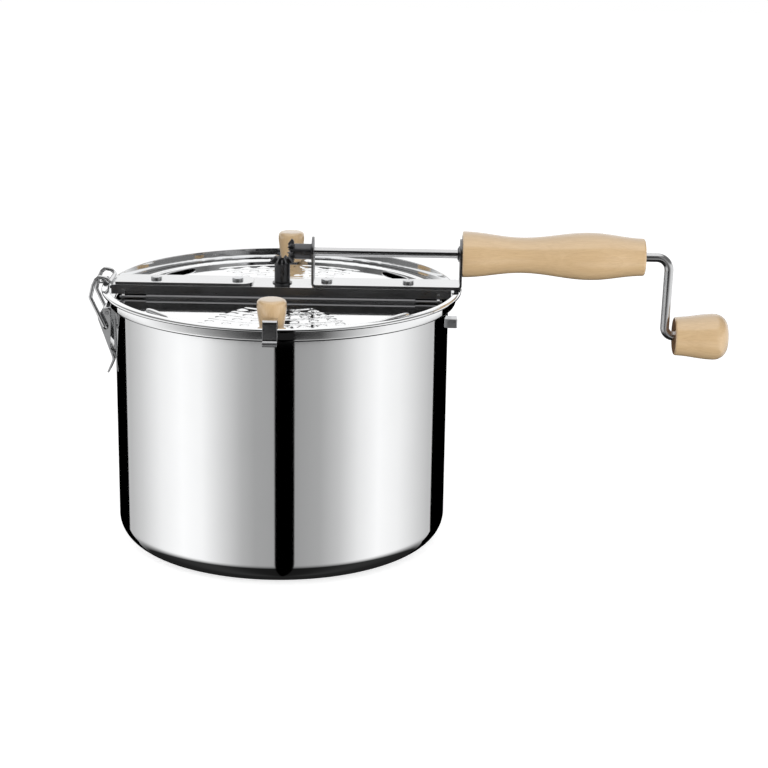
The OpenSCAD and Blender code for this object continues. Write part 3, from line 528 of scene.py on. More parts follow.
def blend_radius(stations):
    """Radius at a share of the length, eased from each station to the next."""
    def radius(s):
        for (s0, r0), (s1, r1) in zip(stations, stations[1:]):
            if s <= s1:
                t = (s - s0) / (s1 - s0)
                return r0 + (r1 - r0) * (1 - math.cos(math.pi * t)) / 2
        return stations[-1][1]
    return radius


def turned_outline(stations, length, round_in, round_out, bore, bore_len):
    """Closed outline of a turned piece with a bore from its inner end."""
    radius = blend_radius(stations)
    out = [(bore, 0)]
    r_in = radius(round_in / length)
    for i in range(INNER_END_STEPS + 1):
        a = math.radians(90 * i / INNER_END_STEPS)
        out.append((r_in - round_in * (1 - math.sin(a)), round_in * (1 - math.cos(a))))
    for i in range(1, BODY_STEPS):
        x = round_in + (length - round_in - round_out) * i / BODY_STEPS
        out.append((radius(x / length), x))
    r_out = radius(1 - round_out / length)
    for i in range(OUTER_END_STEPS + 1):
        a = math.radians(90 - 90 * i / OUTER_END_STEPS)
        out.append((r_out - round_out * (1 - math.sin(a)),
                    length - round_out * (1 - math.cos(a))))
    if bore_len >= length:
        return out + [(bore, length)]
    return out + [(0, length), (0, bore_len), (bore, bore_len)]


# %% [markdown]
# The handle has a bore right through, because the crank's rod and a tube pass along it, and a seat
# for the tube's flange in its outer end. Its stations are shares of its length with their radii.

# %% Handle
handle_low, handle_high = box_mm("handle_grip")
shaft_z = (handle_low.z + handle_high.z) / 2
handle_len = handle_high.x - handle_low.x
HANDLE_SHAPE = [(0, 15.3), (0.33, 11.8), (0.7, 15.75), (1, 12.4)]
HANDLE_ROUND_IN = 1.0
HANDLE_ROUND_OUT = 1.5
HANDLE_BORE_R = 4.3
FLANGE_SEAT_R = 7.1
FLANGE_SEAT_DEPTH = 1.5


def handle_outline():
    out = turned_outline(HANDLE_SHAPE, handle_len, HANDLE_ROUND_IN, HANDLE_ROUND_OUT,
                         HANDLE_BORE_R, handle_len)
    seat_z = handle_len - FLANGE_SEAT_DEPTH
    return out[:-1] + [(FLANGE_SEAT_R, handle_len), (FLANGE_SEAT_R, seat_z),
                       (HANDLE_BORE_R, seat_z)]


handle = lathe("handle_turned", handle_outline(), (handle_low.x, 0, shaft_z), TURN_TO_X,
               crease=TURNED_CREASE)
dress(handle, ["handle_grip"], wood_along)

# %% [markdown]
# The crank's knob spins on the pin at the end of the rod. A cup in its outer end hides the nut. Its
# inner end is bare end grain, so the faces that look along the axis there get the darker finish.

# %% Crank knob
knob_low, knob_high = box_mm("crank_knob")
pin_z = (knob_low.z + knob_high.z) / 2
crank_knob_len = knob_high.x - knob_low.x
CRANK_KNOB_SHAPE = [(0, 12.9), (0.75, 15.4), (1, 15.0)]
CRANK_KNOB_ROUND_IN = 1.5
CRANK_KNOB_ROUND_OUT = 9.0
KNOB_BORE_R = 3.06
CUP_R = 6.2
CUP_DEPTH = 4.5
END_GRAIN_FACING = 0.9


def crank_knob_outline():
    out = turned_outline(CRANK_KNOB_SHAPE, crank_knob_len, CRANK_KNOB_ROUND_IN,
                         CRANK_KNOB_ROUND_OUT, CUP_R, crank_knob_len)
    cup_z = crank_knob_len - CUP_DEPTH
    return [(KNOB_BORE_R, 0)] + out[1:] + [(CUP_R, cup_z), (KNOB_BORE_R, cup_z)]


crank_knob = lathe("crank_knob_turned", crank_knob_outline(), (knob_low.x, 0, pin_z), TURN_TO_X,
                   crease=TURNED_CREASE)
dress(crank_knob, ["crank_knob"], wood_along)
second_finish(crank_knob, wood_end, lambda n, c: n.x < -END_GRAIN_FACING)

# %% [markdown]
# The two knobs on the flaps stand upright, narrow at the foot and full at the top. A screw comes
# up from under the flap, so each has a blind bore.

# %% Flap knobs
FLAP_KNOB_SHAPE = [(0, 7.5), (0.8, 9.3), (1, 9.0)]
FLAP_KNOB_ROUND_IN = 0.5
FLAP_KNOB_ROUND_OUT = 2.8
SCREW_BORE_R = 1.95
SCREW_BORE_H = 12.0
for side in ("front", "back"):
    low, high = box_mm(side + "_knob")
    knob_outline = turned_outline(FLAP_KNOB_SHAPE, high.z - low.z, FLAP_KNOB_ROUND_IN,
                                  FLAP_KNOB_ROUND_OUT, SCREW_BORE_R, SCREW_BORE_H)
    flap_knob = lathe(side + "_knob_turned", knob_outline, (0, (low.y + high.y) / 2, low.z),
                      crease=TURNED_CREASE)
    dress(flap_knob, [side + "_knob"], wood_upright)


# %% [markdown]
# A flap is a half-moon of thin sheet with pressed decoration: rows of small domes that fan out
# from the middle, fine arcs between them and a raised border. The relief is a formula of place, so
# a fine grid follows it exactly. A bump in the material would leave the mesh flat, and a mirror
# would give that away.

# %% Flap relief
hinge_low, hinge_high = box_mm("back_hinge_rod")
hinge_y = (hinge_low.y + hinge_high.y) / 2
hinge_z = (hinge_low.z + hinge_high.z) / 2
FLAP_GAP = 0.8
FLAP_T = 1.0
flap_r = band_r - SHEET - FLAP_GAP
flap_top_z = ledge_z + FLAP_T
EDGE_OUT = 3.5
flap_edge_y = hinge_y + EDGE_OUT
DOME_ROW_SHARES = [0.42, 0.53, 0.64, 0.75]
DOME_COUNTS = [5, 6, 7, 8]
DOME_SPREAD = 58
DOME_R = 3.4
DOME_H = 0.8
ARC_SHARES = [0.365, 0.475, 0.585, 0.695, 0.805]
ARC_H = 0.35
ARC_HALF = 1.3
ARC_SPREAD = 33
ARC_FADE = 2.5
BORDER_H = 1.05
BORDER_HALF = 1.5
BORDER_INSET = 6.5
border_r = flap_r - BORDER_INSET
# The border rises over these distances from the hinge side and from the clip in the middle
BORDER_OFF_HINGE = (3.0, 9.0)
BORDER_OFF_CLIP = (7.5, 11.0)


def dome_places():
    places = []
    for share, count in zip(DOME_ROW_SHARES, DOME_COUNTS):
        for i in range(count):
            a = math.radians(90 - DOME_SPREAD / 2 + DOME_SPREAD * i / (count - 1))
            places.append((flap_r * share * math.cos(a), flap_r * share * math.sin(a)))
    return places


DOMES = dome_places()


def bump(distance, half, height):
    """A smooth rise that ends level at its foot."""
    t = min(abs(distance) / half, 1.0)
    return height * (1 - t * t) ** 2


def fade(value, start, stop):
    """Goes smoothly from 0 to 1 between start and stop."""
    t = min(max((value - start) / (stop - start), 0.0), 1.0)
    return t * t * (3 - 2 * t)


def relief(x, y):
    """How high the pressed sheet stands at a place."""
    r = math.hypot(x, y)
    height = max(bump(math.hypot(x - px, y - py), DOME_R, DOME_H) for px, py in DOMES)
    off_middle = abs(math.degrees(math.atan2(x, y)))
    inside = 1 - fade(off_middle, ARC_SPREAD - ARC_FADE, ARC_SPREAD)
    height += inside * max(bump(r - s * flap_r, ARC_HALF, ARC_H) for s in ARC_SHARES)
    clear = fade(y - flap_edge_y, *BORDER_OFF_HINGE) * fade(abs(x), *BORDER_OFF_CLIP)
    return height + clear * bump(r - border_r, BORDER_HALF, BORDER_H)


print("flap relief", len(DOMES), "domes,", len(ARC_SHARES), "arcs")


# %% [markdown]
# The sheet is a grid over the half-moon, given its thickness by Solidify. Its columns bunch up at
# the tips to keep the round edge clean.

# %% Flap sheet
COLUMNS = 300
ROWS = 120
FLAP_CREASE = 40


def grid_faces(columns, rows):
    """Faces of a grid whose points are listed column by column."""
    corners = [i * (rows + 1) + j for i in range(columns) for j in range(rows)]
    return [(a, a + rows + 1, a + rows + 2, a + 1) for a in corners]


def sheet_from(name, points, faces, thickness, crease):
    """A surface with sheet on both sides of it."""
    sheet = solid(name, points, faces, crease)
    wall = sheet.modifiers.new("sheet", "SOLIDIFY")
    wall.thickness = thickness * MM
    wall.offset = 0
    return settle(sheet)


def flap_plate(name):
    half_x = math.sqrt(flap_r ** 2 - flap_edge_y ** 2)
    points = []
    for i in range(COLUMNS + 1):
        x = -half_x * math.cos(math.pi * i / COLUMNS)
        y_out = math.sqrt(max(flap_r ** 2 - x * x, 0.0))
        for j in range(ROWS + 1):
            y = flap_edge_y + (max(y_out, flap_edge_y) - flap_edge_y) * j / ROWS
            points.append((x, y, flap_top_z - FLAP_T / 2 + relief(x, y)))
    return sheet_from(name, points, grid_faces(COLUMNS, ROWS), FLAP_T, FLAP_CREASE)


# %% [markdown]
# Each vent is a louvre: a slot whose outer side is pressed up into a hood that opens towards the
# bridge. The slot is cut with a boolean, and the hood is a small curved shell with closed ends.

# %% Vents
VENT_R = 96.0
VENT_ANGLES = (38.4, 141.6)
VENT_HALF = 15.5
HOOD_R = 2.4
HOOD_T = 0.6
HOOD_SINK = 0.15
HOOD_SWEEP = 100
HOOD_COLUMNS = 28
HOOD_ROWS = 12
HOOD_END_POWER = 5
SLOT_REACH = 3


def cut(piece, cutter):
    """Takes the cutter's space out of the piece."""
    knife = piece.modifiers.new("cut", "BOOLEAN")
    knife.operation = "DIFFERENCE"
    knife.solver = "EXACT"
    knife.object = cutter
    settle(piece)
    bpy.data.objects.remove(cutter)


def block(name, low, high, turn=Matrix.Identity(3), place=(0, 0, 0)):
    corners = [(x, y, z) for x in (low[0], high[0]) for y in (low[1], high[1])
               for z in (low[2], high[2])]
    faces = [(0, 1, 3, 2), (4, 6, 7, 5), (0, 4, 5, 1), (2, 3, 7, 6), (0, 2, 6, 4), (1, 5, 7, 3)]
    return solid(name, [turn @ Vector(c) + Vector(place) for c in corners], faces)


def slot(angle):
    """The space of one slot, which lies just inside its hood."""
    turn = Matrix.Rotation(math.radians(angle), 3, "Z")
    half = VENT_HALF - HOOD_T
    return block("slot", (0.0, -half, -SLOT_REACH), (HOOD_R - HOOD_T, half, SLOT_REACH),
                 turn, turn @ Vector((VENT_R, 0, flap_top_z)))


def hood(angle):
    """The pressed hood over one vent."""
    a = math.radians(angle)
    out_way = Vector((math.cos(a), math.sin(a), 0))
    side_way = Vector((-math.sin(a), math.cos(a), 0))
    centre = out_way * VENT_R + Vector((0, 0, flap_top_z - HOOD_SINK))
    points = []
    for i in range(HOOD_COLUMNS + 1):
        v = -VENT_HALF * math.cos(math.pi * i / HOOD_COLUMNS)
        full = max(1 - abs(v / VENT_HALF) ** HOOD_END_POWER, 0.0) ** 0.5
        size = (HOOD_R - HOOD_T / 2) * full
        for j in range(HOOD_ROWS + 1):
            rise = math.radians(HOOD_SWEEP * j / HOOD_ROWS)
            points.append(centre + side_way * v + out_way * size * math.cos(rise)
                          + Vector((0, 0, size * math.sin(rise))))
    return sheet_from("hood", points, grid_faces(HOOD_COLUMNS, HOOD_ROWS), HOOD_T, THIN_CREASE)


# %% [markdown]
# The straight side is rolled into a barrel that turns on the hinge rod, with a web between them.
# Both flaps are made at the back, where all numbers are positive, and the front one is mirrored.
# Mirroring turns faces inside out, so they are flipped back. The barrel takes the darker, rougher
# steel.

# %% Flaps
BARREL_HALF = 89.0
BARREL_R = 2.21
BARREL_CHAMFER = 0.2
ROD_BORE_R = 1.56
WEB_LAP = 0.4
ROUND_STEPS = 40
SKIN = 0.02


def flap_barrel():
    narrow, short = BARREL_R - BARREL_CHAMFER, BARREL_HALF - BARREL_CHAMFER
    outline = [(ROD_BORE_R, -BARREL_HALF), (narrow, -BARREL_HALF), (BARREL_R, -short),
               (BARREL_R, short), (narrow, BARREL_HALF), (ROD_BORE_R, BARREL_HALF)]
    return lathe("barrel", outline, (0, hinge_y, hinge_z), TURN_TO_X, steps=ROUND_STEPS)


def on_barrel(normal, centre):
    return math.hypot(abs(centre.y) - hinge_y, centre.z - hinge_z) < BARREL_R + SKIN


def make_flap(side):
    sheet = flap_plate(side + "_sheet")
    for angle in VENT_ANGLES:
        cut(sheet, slot(angle))
    barrel = flap_barrel()
    web = block("web", (-BARREL_HALF, hinge_y + ROD_BORE_R, ledge_z),
                (BARREL_HALF, flap_edge_y + WEB_LAP, flap_top_z))
    hoods = [hood(angle) for angle in VENT_ANGLES]
    flap = join([sheet, barrel, web, *hoods], side + "_flap_pressed")
    if side == "front":
        flap.data.transform(Matrix.Scale(-1, 4, (0, 1, 0)))
    finish_mesh(flap.data, FLAP_CREASE, turn_out=False)
    if side == "front":
        flap.data.flip_normals()
    dress(flap, [side + "_flap"], mirror_steel)
    second_finish(flap, dull_and_painted_shade_steel, on_barrel)


for side in ("front", "back"):
    make_flap(side)

# %% [markdown]
# Rods and wires are a round section that follows a path with rounded corners. One Geometry Nodes
# tree does it for all: it fillets the path by the radius stored on each point, sweeps a circle
# along it and closes the ends. Every tree here ends the same way, in real geometry that has its
# material, so that part is a helper.

# %% Bent wire tree
WIRE_SIDES = 32
THIN_WIRE_SIDES = 24
WIRE_BEND_STEPS = 12
ROD_BEND_STEPS = 24


def new_tree(name, inputs):
    """A Geometry Nodes tree, the sockets that it is given and the node that takes its result."""
    tree = bpy.data.node_groups.new(name, "GeometryNodeTree")
    for label, kind in (("Geometry", "NodeSocketGeometry"), *inputs,
                        ("Material", "NodeSocketMaterial")):
        tree.interface.new_socket(label, in_out="INPUT", socket_type=kind)
    tree.interface.new_socket("Geometry", in_out="OUTPUT", socket_type="NodeSocketGeometry")
    return tree, tree.nodes.new("NodeGroupInput").outputs, tree.nodes.new("NodeGroupOutput")


def hand_out(tree, given, made, geometry):
    """Makes the geometry real, gives it the material and ends the tree."""
    real = add(tree, "GeometryNodeRealizeInstances", {0: geometry})
    painted = add(tree, "GeometryNodeSetMaterial",
                  {"Geometry": real.outputs[0], "Material": given["Material"]})
    feed(tree, made, {0: painted.outputs[0]})
    return tree


def make_wire_tree():
    tree, given, made = new_tree("bent wire", [("Wire radius", "NodeSocketFloat"),
                                               ("Bend steps", "NodeSocketInt"),
                                               ("Sides", "NodeSocketInt")])
    bend_radius = add(tree, "GeometryNodeInputRadius")
    bends = add(tree, "GeometryNodeFilletCurve",
                {"Curve": given["Geometry"], "Count": given["Bend steps"],
                 "Radius": bend_radius.outputs[0], "Limit Radius": True}, mode="POLY")
    even = add(tree, "GeometryNodeSetCurveRadius", {"Curve": bends.outputs[0], "Radius": 1.0})
    section = add(tree, "GeometryNodeCurvePrimitiveCircle",
                  {"Resolution": given["Sides"], "Radius": given["Wire radius"]})
    swept = add(tree, "GeometryNodeCurveToMesh",
                {"Curve": even.outputs[0], "Profile Curve": section.outputs[0],
                 "Fill Caps": True})
    return hand_out(tree, given, made, swept.outputs[0])


wire_tree = make_wire_tree()
print(wire_tree.name, len(wire_tree.nodes), "nodes")


def run_tree(piece, tree, values):
    """Sets a tree's inputs by identifier, runs it and leaves a plain mesh."""
    modifier = piece.modifiers.new("nodes", "NODES")
    modifier.node_group = tree
    for item in tree.interface.items_tree:
        if item.in_out == "INPUT" and item.name in values:
            modifier[item.identifier] = values[item.name]
    return settle(piece)


def bent_wire(name, path, bends, wire_r, sides=THIN_WIRE_SIDES, bend_steps=WIRE_BEND_STEPS):
    """A wire along a path in millimetres, with a bend radius for each of its points."""
    curve = bpy.data.curves.new(name, "CURVE")
    curve.dimensions = "3D"
    line = curve.splines.new("POLY")
    line.points.add(len(path) - 1)
    for point, place, bend in zip(line.points, path, bends):
        point.co = (*(Vector(place) * MM), 1.0)
        point.radius = bend * MM
    wire = run_tree(new_object(name + "_path", curve), wire_tree,
                    {"Wire radius": wire_r * MM, "Bend steps": bend_steps, "Sides": sides,
                     "Material": drawn_steel})
    wire.name = wire.data.name = name
    finish_mesh(wire.data, TURNED_CREASE)
    return wire


# %% [markdown]
# The crank is one rod. It starts in the upper gear, runs through the bracket and the handle, bends
# down and back a little, and ends in the pin that the knob spins on.

# %% Crank
rod_low, rod_high = box_mm("crank_rod")
ROD_R = 3.0
CRANK_BENDS = (8.5, 6.0)
CRANK_OUT = 8.1
CRANK_LEAN = math.radians(1.0)


def crank_path():
    drop = shaft_z - pin_z
    reach = CRANK_BENDS[0] * math.tan((math.pi / 2 + CRANK_LEAN) / 2)
    top_x = handle_high.x + CRANK_OUT + reach
    return [(rod_low.x, 0, shaft_z), (top_x, 0, shaft_z),
            (top_x - drop * math.tan(CRANK_LEAN), 0, pin_z), (rod_high.x, 0, pin_z)]


crank = bent_wire("crank_bent", crank_path(), (0, *CRANK_BENDS, 0), ROD_R, WIRE_SIDES,
                  ROD_BEND_STEPS)
dress(crank, ["crank_rod"], drawn_steel)

# %% [markdown]
# The latch's bail is one bent wire: its ends turn in the lever, its two sides rise past the rim,
# and the bar between them hooks over the catch. One side is a list of points seen from the pivot,
# and the other side is the same list mirrored.

# %% Bail
# In X and Z from the pivot: knee, neck, shoulder, crown, fall and hook
BAIL_POINTS = [(-9.5, 21), (-7.5, 29.2), (-5.5, 33.1), (-3, 35.1), (1, 34.2), (3.5, 31.7)]
BAIL_HALF = 13.0
BAIL_END = 8.0
BAIL_R = 1.3
BAIL_BEND_R = 2.0
joint_at = {j["name"]: Vector(j["pos_m"]) / MM for j in frame["record"]["behaviour"]["joints"]}
bail_pivot = joint_at["latch_bail_hinge"]


def bail_path():
    x0, z0 = bail_pivot.x, bail_pivot.z
    side = [(x0, BAIL_END, z0), (x0, BAIL_HALF, z0)]
    side += [(x0 + x, BAIL_HALF, z0 + z) for x, z in BAIL_POINTS]
    return side + [(x, -y, z) for x, y, z in reversed(side)]


bail_points = bail_path()
bail = bent_wire("bail_bent", bail_points, [BAIL_BEND_R] * len(bail_points), BAIL_R)
dress(bail, ["latch_bail"], drawn_steel)

# %% [markdown]
# The stirrer is a wire that sweeps just above the bottom of the pot and turns up at both ends, so
# that no corn stays in the corner. The same tree bends it.

# %% Stirrer
wire_low, wire_high = box_mm("stirrer_wire")
STIRRER_R = 1.5
STIRRER_BEND_R = 6.0
tip_x = wire_high.x - STIRRER_R
low_z = wire_low.z + STIRRER_R
stirrer_path = [(-tip_x, 0, wire_high.z), (-tip_x, 0, low_z), (tip_x, 0, low_z),
                (tip_x, 0, wire_high.z)]
stirrer = bent_wire("stirrer_bent", stirrer_path, [STIRRER_BEND_R] * len(stirrer_path), STIRRER_R)
dress(stirrer, ["stirrer_wire"], drawn_steel)


# %% [markdown]
# Rivets of one kind are one shape in several places. A tree puts a copy of the turned rivet on
# each point of a small mesh, turns it the way its head looks and makes the copies real.

# %% Rivet tree
HEAD_EDGE_SHARE = 0.4
HEAD_EDGE_FROM = 80
HEAD_EDGE_STEPS = 6


def make_row_tree():
    tree, given, made = new_tree("rivet row", [("Rivet", "NodeSocketObject"),
                                               ("Turn", "NodeSocketVector")])
    source = add(tree, "GeometryNodeObjectInfo", {"Object": given["Rivet"]})
    turned_by = add(tree, "FunctionNodeEulerToRotation", {0: given["Turn"]})
    row = add(tree, "GeometryNodeInstanceOnPoints",
              {"Points": given["Geometry"], "Instance": source.outputs["Geometry"],
               "Rotation": turned_by.outputs[0]})
    return hand_out(tree, given, made, row.outputs[0])


row_tree = make_row_tree()
print(row_tree.name, len(row_tree.nodes), "nodes")


def rivet_outline(head_r, head_h, shank_r, foot_r, foot_h, grip):
    """A pan head above 0, its shank below and a spread foot under the sheets."""
    edge = head_h * HEAD_EDGE_SHARE
    out = [(0, head_h)]
    out += arc((head_r - edge, head_h - edge), edge, HEAD_EDGE_FROM, 0, HEAD_EDGE_STEPS)
    return out + [(head_r, 0), (shank_r, 0), (shank_r, -grip), (foot_r, -grip),
                  (shank_r, -grip - foot_h), (0, -grip - foot_h)]


def rivet_row(name, outline, places, turn=(0.0, 0.0, 0.0)):
    one = lathe(name + "_one", outline, steps=ROUND_STEPS, crease=TURNED_CREASE)
    spots = solid(name + "_spots", places, [])
    row = run_tree(spots, row_tree, {"Rivet": one, "Turn": turn, "Material": satin_steel})
    bpy.data.objects.remove(one)
    row.name = row.data.name = name
    finish_mesh(row.data, TURNED_CREASE)
    return row


# %% [markdown]
# Four large rivets hold the strips on the bridge. They stand on the strips and are spread under
# the bridge. Two small ones hold the latch's base on the wall, with their heads towards the left.

# %% Rivets
strip_top_z = box_mm("latch_strip")[1].z
rivet_low, rivet_high = box_mm("bridge_rivets")
RIVET_HEAD_R = 3.75
RIVET_SHANK_R = 1.9
RIVET_FOOT_R = 3.0
RIVET_IN_X = 29.7
rivet_out_x = rivet_high.x - RIVET_HEAD_R
bridge_rivet = rivet_outline(RIVET_HEAD_R, rivet_high.z - strip_top_z, RIVET_SHANK_R,
                             RIVET_FOOT_R, rim_z - rivet_low.z, strip_top_z - rim_z)
heads = rivet_row("bridge_rivet_row", bridge_rivet,
                  [(x, 0, strip_top_z)
                   for x in (-rivet_out_x, -RIVET_IN_X, RIVET_IN_X, rivet_out_x)])
dress(heads, ["bridge_rivets"], satin_steel)

latch_rivet_low, latch_rivet_high = box_mm("latch_base_rivets")
LATCH_HEAD_R = 2.4
LATCH_HEAD_H = 1.2
LATCH_SHANK_R = 1.5
TO_THE_LEFT = (0.0, -math.pi / 2, 0.0)
grip = latch_rivet_high.x - latch_rivet_low.x - 2 * LATCH_HEAD_H
latch_rivet = rivet_outline(LATCH_HEAD_R, LATCH_HEAD_H, LATCH_SHANK_R, LATCH_HEAD_R,
                            LATCH_HEAD_H, grip)
latch_heads = rivet_row("latch_rivet_row", latch_rivet,
                        [(latch_rivet_low.x + LATCH_HEAD_H, 0, z)
                         for z in (latch_rivet_low.z + LATCH_HEAD_R,
                                   latch_rivet_high.z - LATCH_HEAD_R)], TO_THE_LEFT)
dress(latch_heads, ["latch_base_rivets"], satin_steel)


# %% [markdown]
# Cut sheet and turned metal have small broken edges that catch the light. For the pieces whose
# form is right already, a copy of the solid is merged, its flat faces are dissolved into whole
# ones and a narrow bevel runs along every sharp edge.

# %% Bevelled copies
EDGE = 0.15
GEAR_EDGE = 0.3
EDGE_SEGMENTS = 2
EDGE_ANGLE = math.radians(38)
LOOSE_DISTANCE = 2e-6
FLAT_WITHIN = math.radians(0.5)
FLAT_WEIGHT = 100
BEVELLED = {
    "bridge": (EDGE, sheet_steel), "latch_strip": (EDGE, sheet_steel),
    "crank_bracket": (EDGE, sheet_steel), "latch_lever": (EDGE, sheet_steel),
    "latch_base": (EDGE, satin_steel), "front_clip": (EDGE, clip_steel),
    "back_clip": (EDGE, clip_steel), "side_lug": (EDGE, satin_steel),
    "drive_gear": (GEAR_EDGE, gear_steel), "driven_gear": (GEAR_EDGE, gear_steel),
}


def bevelled(node, width, finish):
    mesh = frame["nodes"][node].data.copy()
    bm = bmesh.new()
    bm.from_mesh(mesh)
    bmesh.ops.remove_doubles(bm, verts=bm.verts, dist=LOOSE_DISTANCE)
    bmesh.ops.dissolve_limit(bm, angle_limit=FLAT_WITHIN, verts=bm.verts, edges=bm.edges)
    bm.to_mesh(mesh)
    bm.free()
    mesh.shade_smooth()
    piece = new_object(node + "_bevelled", mesh)
    edge = piece.modifiers.new("edge", "BEVEL")
    edge.width = width * MM
    edge.segments = EDGE_SEGMENTS
    edge.limit_method = "ANGLE"
    edge.angle_limit = EDGE_ANGLE
    edge.use_clamp_overlap = False
    flat = piece.modifiers.new("flat faces stay flat", "WEIGHTED_NORMAL")
    flat.mode = "FACE_AREA"
    flat.weight = FLAT_WEIGHT
    settle(piece)
    return dress(piece, [node], finish)


with_edges = {node: bevelled(node, *how) for node, how in BEVELLED.items()}

# %% [markdown]
# The bridge and its strips keep bright steel on top. Their faces that look to the front or back get
# the dark steel, which paints in shade there. The two uprights of the crank's bracket get it all
# over, as painted shade.

# %% Painted shade on the sides
SIDE_FACING = 0.7
UPRIGHT_FROM = 2


def painted_shade_side(normal, centre):
    return abs(normal.y) > SIDE_FACING


def bracket_painted_shade(normal, centre):
    return painted_shade_side(normal, centre) or centre.z > strip_top_z + UPRIGHT_FROM


second_finish(with_edges["bridge"], dull_and_painted_shade_steel, painted_shade_side)
second_finish(with_edges["latch_strip"], dull_and_painted_shade_steel, painted_shade_side)
second_finish(with_edges["crank_bracket"], dull_and_painted_shade_steel, bracket_painted_shade)

# %% [markdown]
# Screws, nuts, pins, rods and the plate under the pot are small or hidden, and their solids are
# fine enough already. They keep them and only take a finish.

# %% Finishes of the pieces that stay
KEPT = {
    "base_plate": satin_steel, "latch_pin": satin_steel, "stirrer_bushing": dark_steel,
    "handle_sleeve": satin_steel, "front_hinge_rod": dull_and_painted_shade_steel, "back_hinge_rod": dull_and_painted_shade_steel,
    "front_knob_screw": satin_steel, "back_knob_screw": satin_steel, "drive_gear_pin": gear_steel,
    "crank_push_nut": dark_steel, "crank_knob_nut": dark_steel, "stirrer_shaft": drawn_steel,
    "driven_gear_pin": gear_steel, "stirrer_retainer": dark_steel, "stirrer_foot": satin_steel,
    "tongue_catch": satin_steel,
}
for node, finish in KEPT.items():
    data = frame["nodes"][node].data
    data.materials.clear()
    data.materials.append(finish)
print("kept", len(KEPT))

# %% [markdown]
# A mirror shows only what stands round it. The polish of the real pot was photographed in a light
# tent: bright sides, a grey front with a dark gap where the camera looked in, and dark flags
# behind the pot that draw its outline. The tent here is a drum that only reflections can see. Its
# brightness follows the direction round the drum and the height. The lower tent lights the wall,
# and the upper one the band, the lid and, with a screen at either side, the back of the rim.

# %% Light tent
CAMERA_TURN = math.radians(0.5)
TENT_R = 0.8
TENT_TOP = 1.3
TENT_BOTTOM = -1.3
TENT_STEPS = 128
SIDE_WHITE = 1.2
# How bright the lower tent is at each direction, in degrees from the front towards the right
TENT_GREYS = [(-180, 0.45), (-119, 0.456), (-104, 0.58), (-93, 0.71), (-83, 0.83), (-65, 0.955),
              (-50, 0.887), (-36, 0.634), (-23, 0.418), (-14, 0.34), (-3, 0.32), (12, 0.303),
              (27, 0.362), (40, 0.514), (46.5, 0.634), (53.5, 0.762), (68.5, 0.93), (85.5, 0.84),
              (106, 0.615), (120, 0.485), (180, 0.45)]
# The same for the upper tent
HIGH_GREYS = [(-180, 0.95), (-90, 0.9), (-52, 0.4), (-30, 0.13), (-15, 0.04), (0, 0.012),
              (12, 0.012), (26, 0.06), (48, 0.5), (70, 0.85), (180, 0.95)]
# Direction of the gap that the camera looks through, and how far its edge lies to each side
GAP_MIDDLE = math.radians(4.5)
GAP_EDGE = (math.radians(6.0), math.radians(6.5))
# Heights over which one part of the tent fades into the next, in metres
GROUND_FADE = (-0.62, -0.34)
LEVEL_FADE = (-0.021, -0.017)
SCREEN_FADE = (0.26, 0.34)
CEILING_FADE = (0.9, 1.2)
GROUND_GREY = 0.03
CEILING_GREY = 0.95
# How far to the side the screens begin, and how much light they take
SCREEN_ASIDE = (0.45, 0.7)
SCREEN_TAKES = 0.8
BLACK = (0.0, 0.0, 0.0, 1.0)
WHITE = (1.0, 1.0, 1.0, 1.0)


def stage_material(name, make_shader):
    """A material for the studio, whose shader is made by a function of its tree."""
    mat = bpy.data.materials.new(name)
    mat.use_nodes = True
    tree = mat.node_tree
    tree.nodes.clear()
    add(tree, "ShaderNodeOutputMaterial", {0: make_shader(tree)})
    return mat


def grey_ramp(tree, around, greys):
    """A colour ramp of greys all round, from directions in degrees."""
    node = add(tree, "ShaderNodeValToRGB", {0: around})
    elements = node.color_ramp.elements
    while len(elements) < len(greys):
        elements.new(0.5)
    for element, (degrees, grey) in zip(elements, greys):
        element.position = 0.5 + degrees / 360
        element.color = (grey, grey, grey, 1.0)
    return node.outputs[0]


def tent_light(tree):
    place = add(tree, "ShaderNodeTexCoord").outputs["Object"]
    x, y, z = add(tree, "ShaderNodeSeparateXYZ", {0: place}).outputs
    turn = calc(tree, "ARCTAN2", x, calc(tree, "MULTIPLY", y, -1.0))
    around = spread(tree, turn, -math.pi, math.pi)
    off_gap = calc(tree, "ABSOLUTE", calc(tree, "SUBTRACT", turn, GAP_MIDDLE))
    walls = calc(tree, "MULTIPLY", grey_ramp(tree, around, TENT_GREYS),
                 spread(tree, off_gap, *GAP_EDGE))
    low_part = calc(tree, "MULTIPLY", walls, spread(tree, z, *GROUND_FADE, GROUND_GREY, 1.0))
    at_side = spread(tree, calc(tree, "ABSOLUTE", x), *SCREEN_ASIDE)
    screen = calc(tree, "MULTIPLY", at_side, spread(tree, z, *SCREEN_FADE, 0.0, SCREEN_TAKES))
    screened = mix(tree, screen, grey_ramp(tree, around, HIGH_GREYS), 0.0)
    high_part = mix(tree, spread(tree, z, *CEILING_FADE), screened, CEILING_GREY)
    both = mix(tree, spread(tree, z, *LEVEL_FADE), low_part, high_part)
    light = add(tree, "ShaderNodeEmission", {"Color": both, "Strength": SIDE_WHITE})
    return light.outputs[0]


def only_reflected(obj):
    """Reflections see it; the camera, shadows and soft light don't."""
    obj.visible_camera = False
    obj.visible_diffuse = False
    obj.visible_shadow = False
    obj.visible_transmission = False
    obj.visible_volume_scatter = False


tent_outline = [(0, TENT_BOTTOM / MM), (TENT_R / MM, TENT_BOTTOM / MM),
                (TENT_R / MM, TENT_TOP / MM), (0, TENT_TOP / MM)]
tent = lathe("light_tent", tent_outline, steps=TENT_STEPS)
tent.data.materials.append(stage_material("light tent", tent_light))
tent.rotation_euler.z = CAMERA_TURN
only_reflected(tent)
print("tent", len(TENT_GREYS), "greys below,", len(HIGH_GREYS), "above")

# %% [markdown]
# Two black flags stand behind the pot, left and right. The wall reflects them at a flat angle as a
# black line down each side, which sets the bright metal off from the white background.

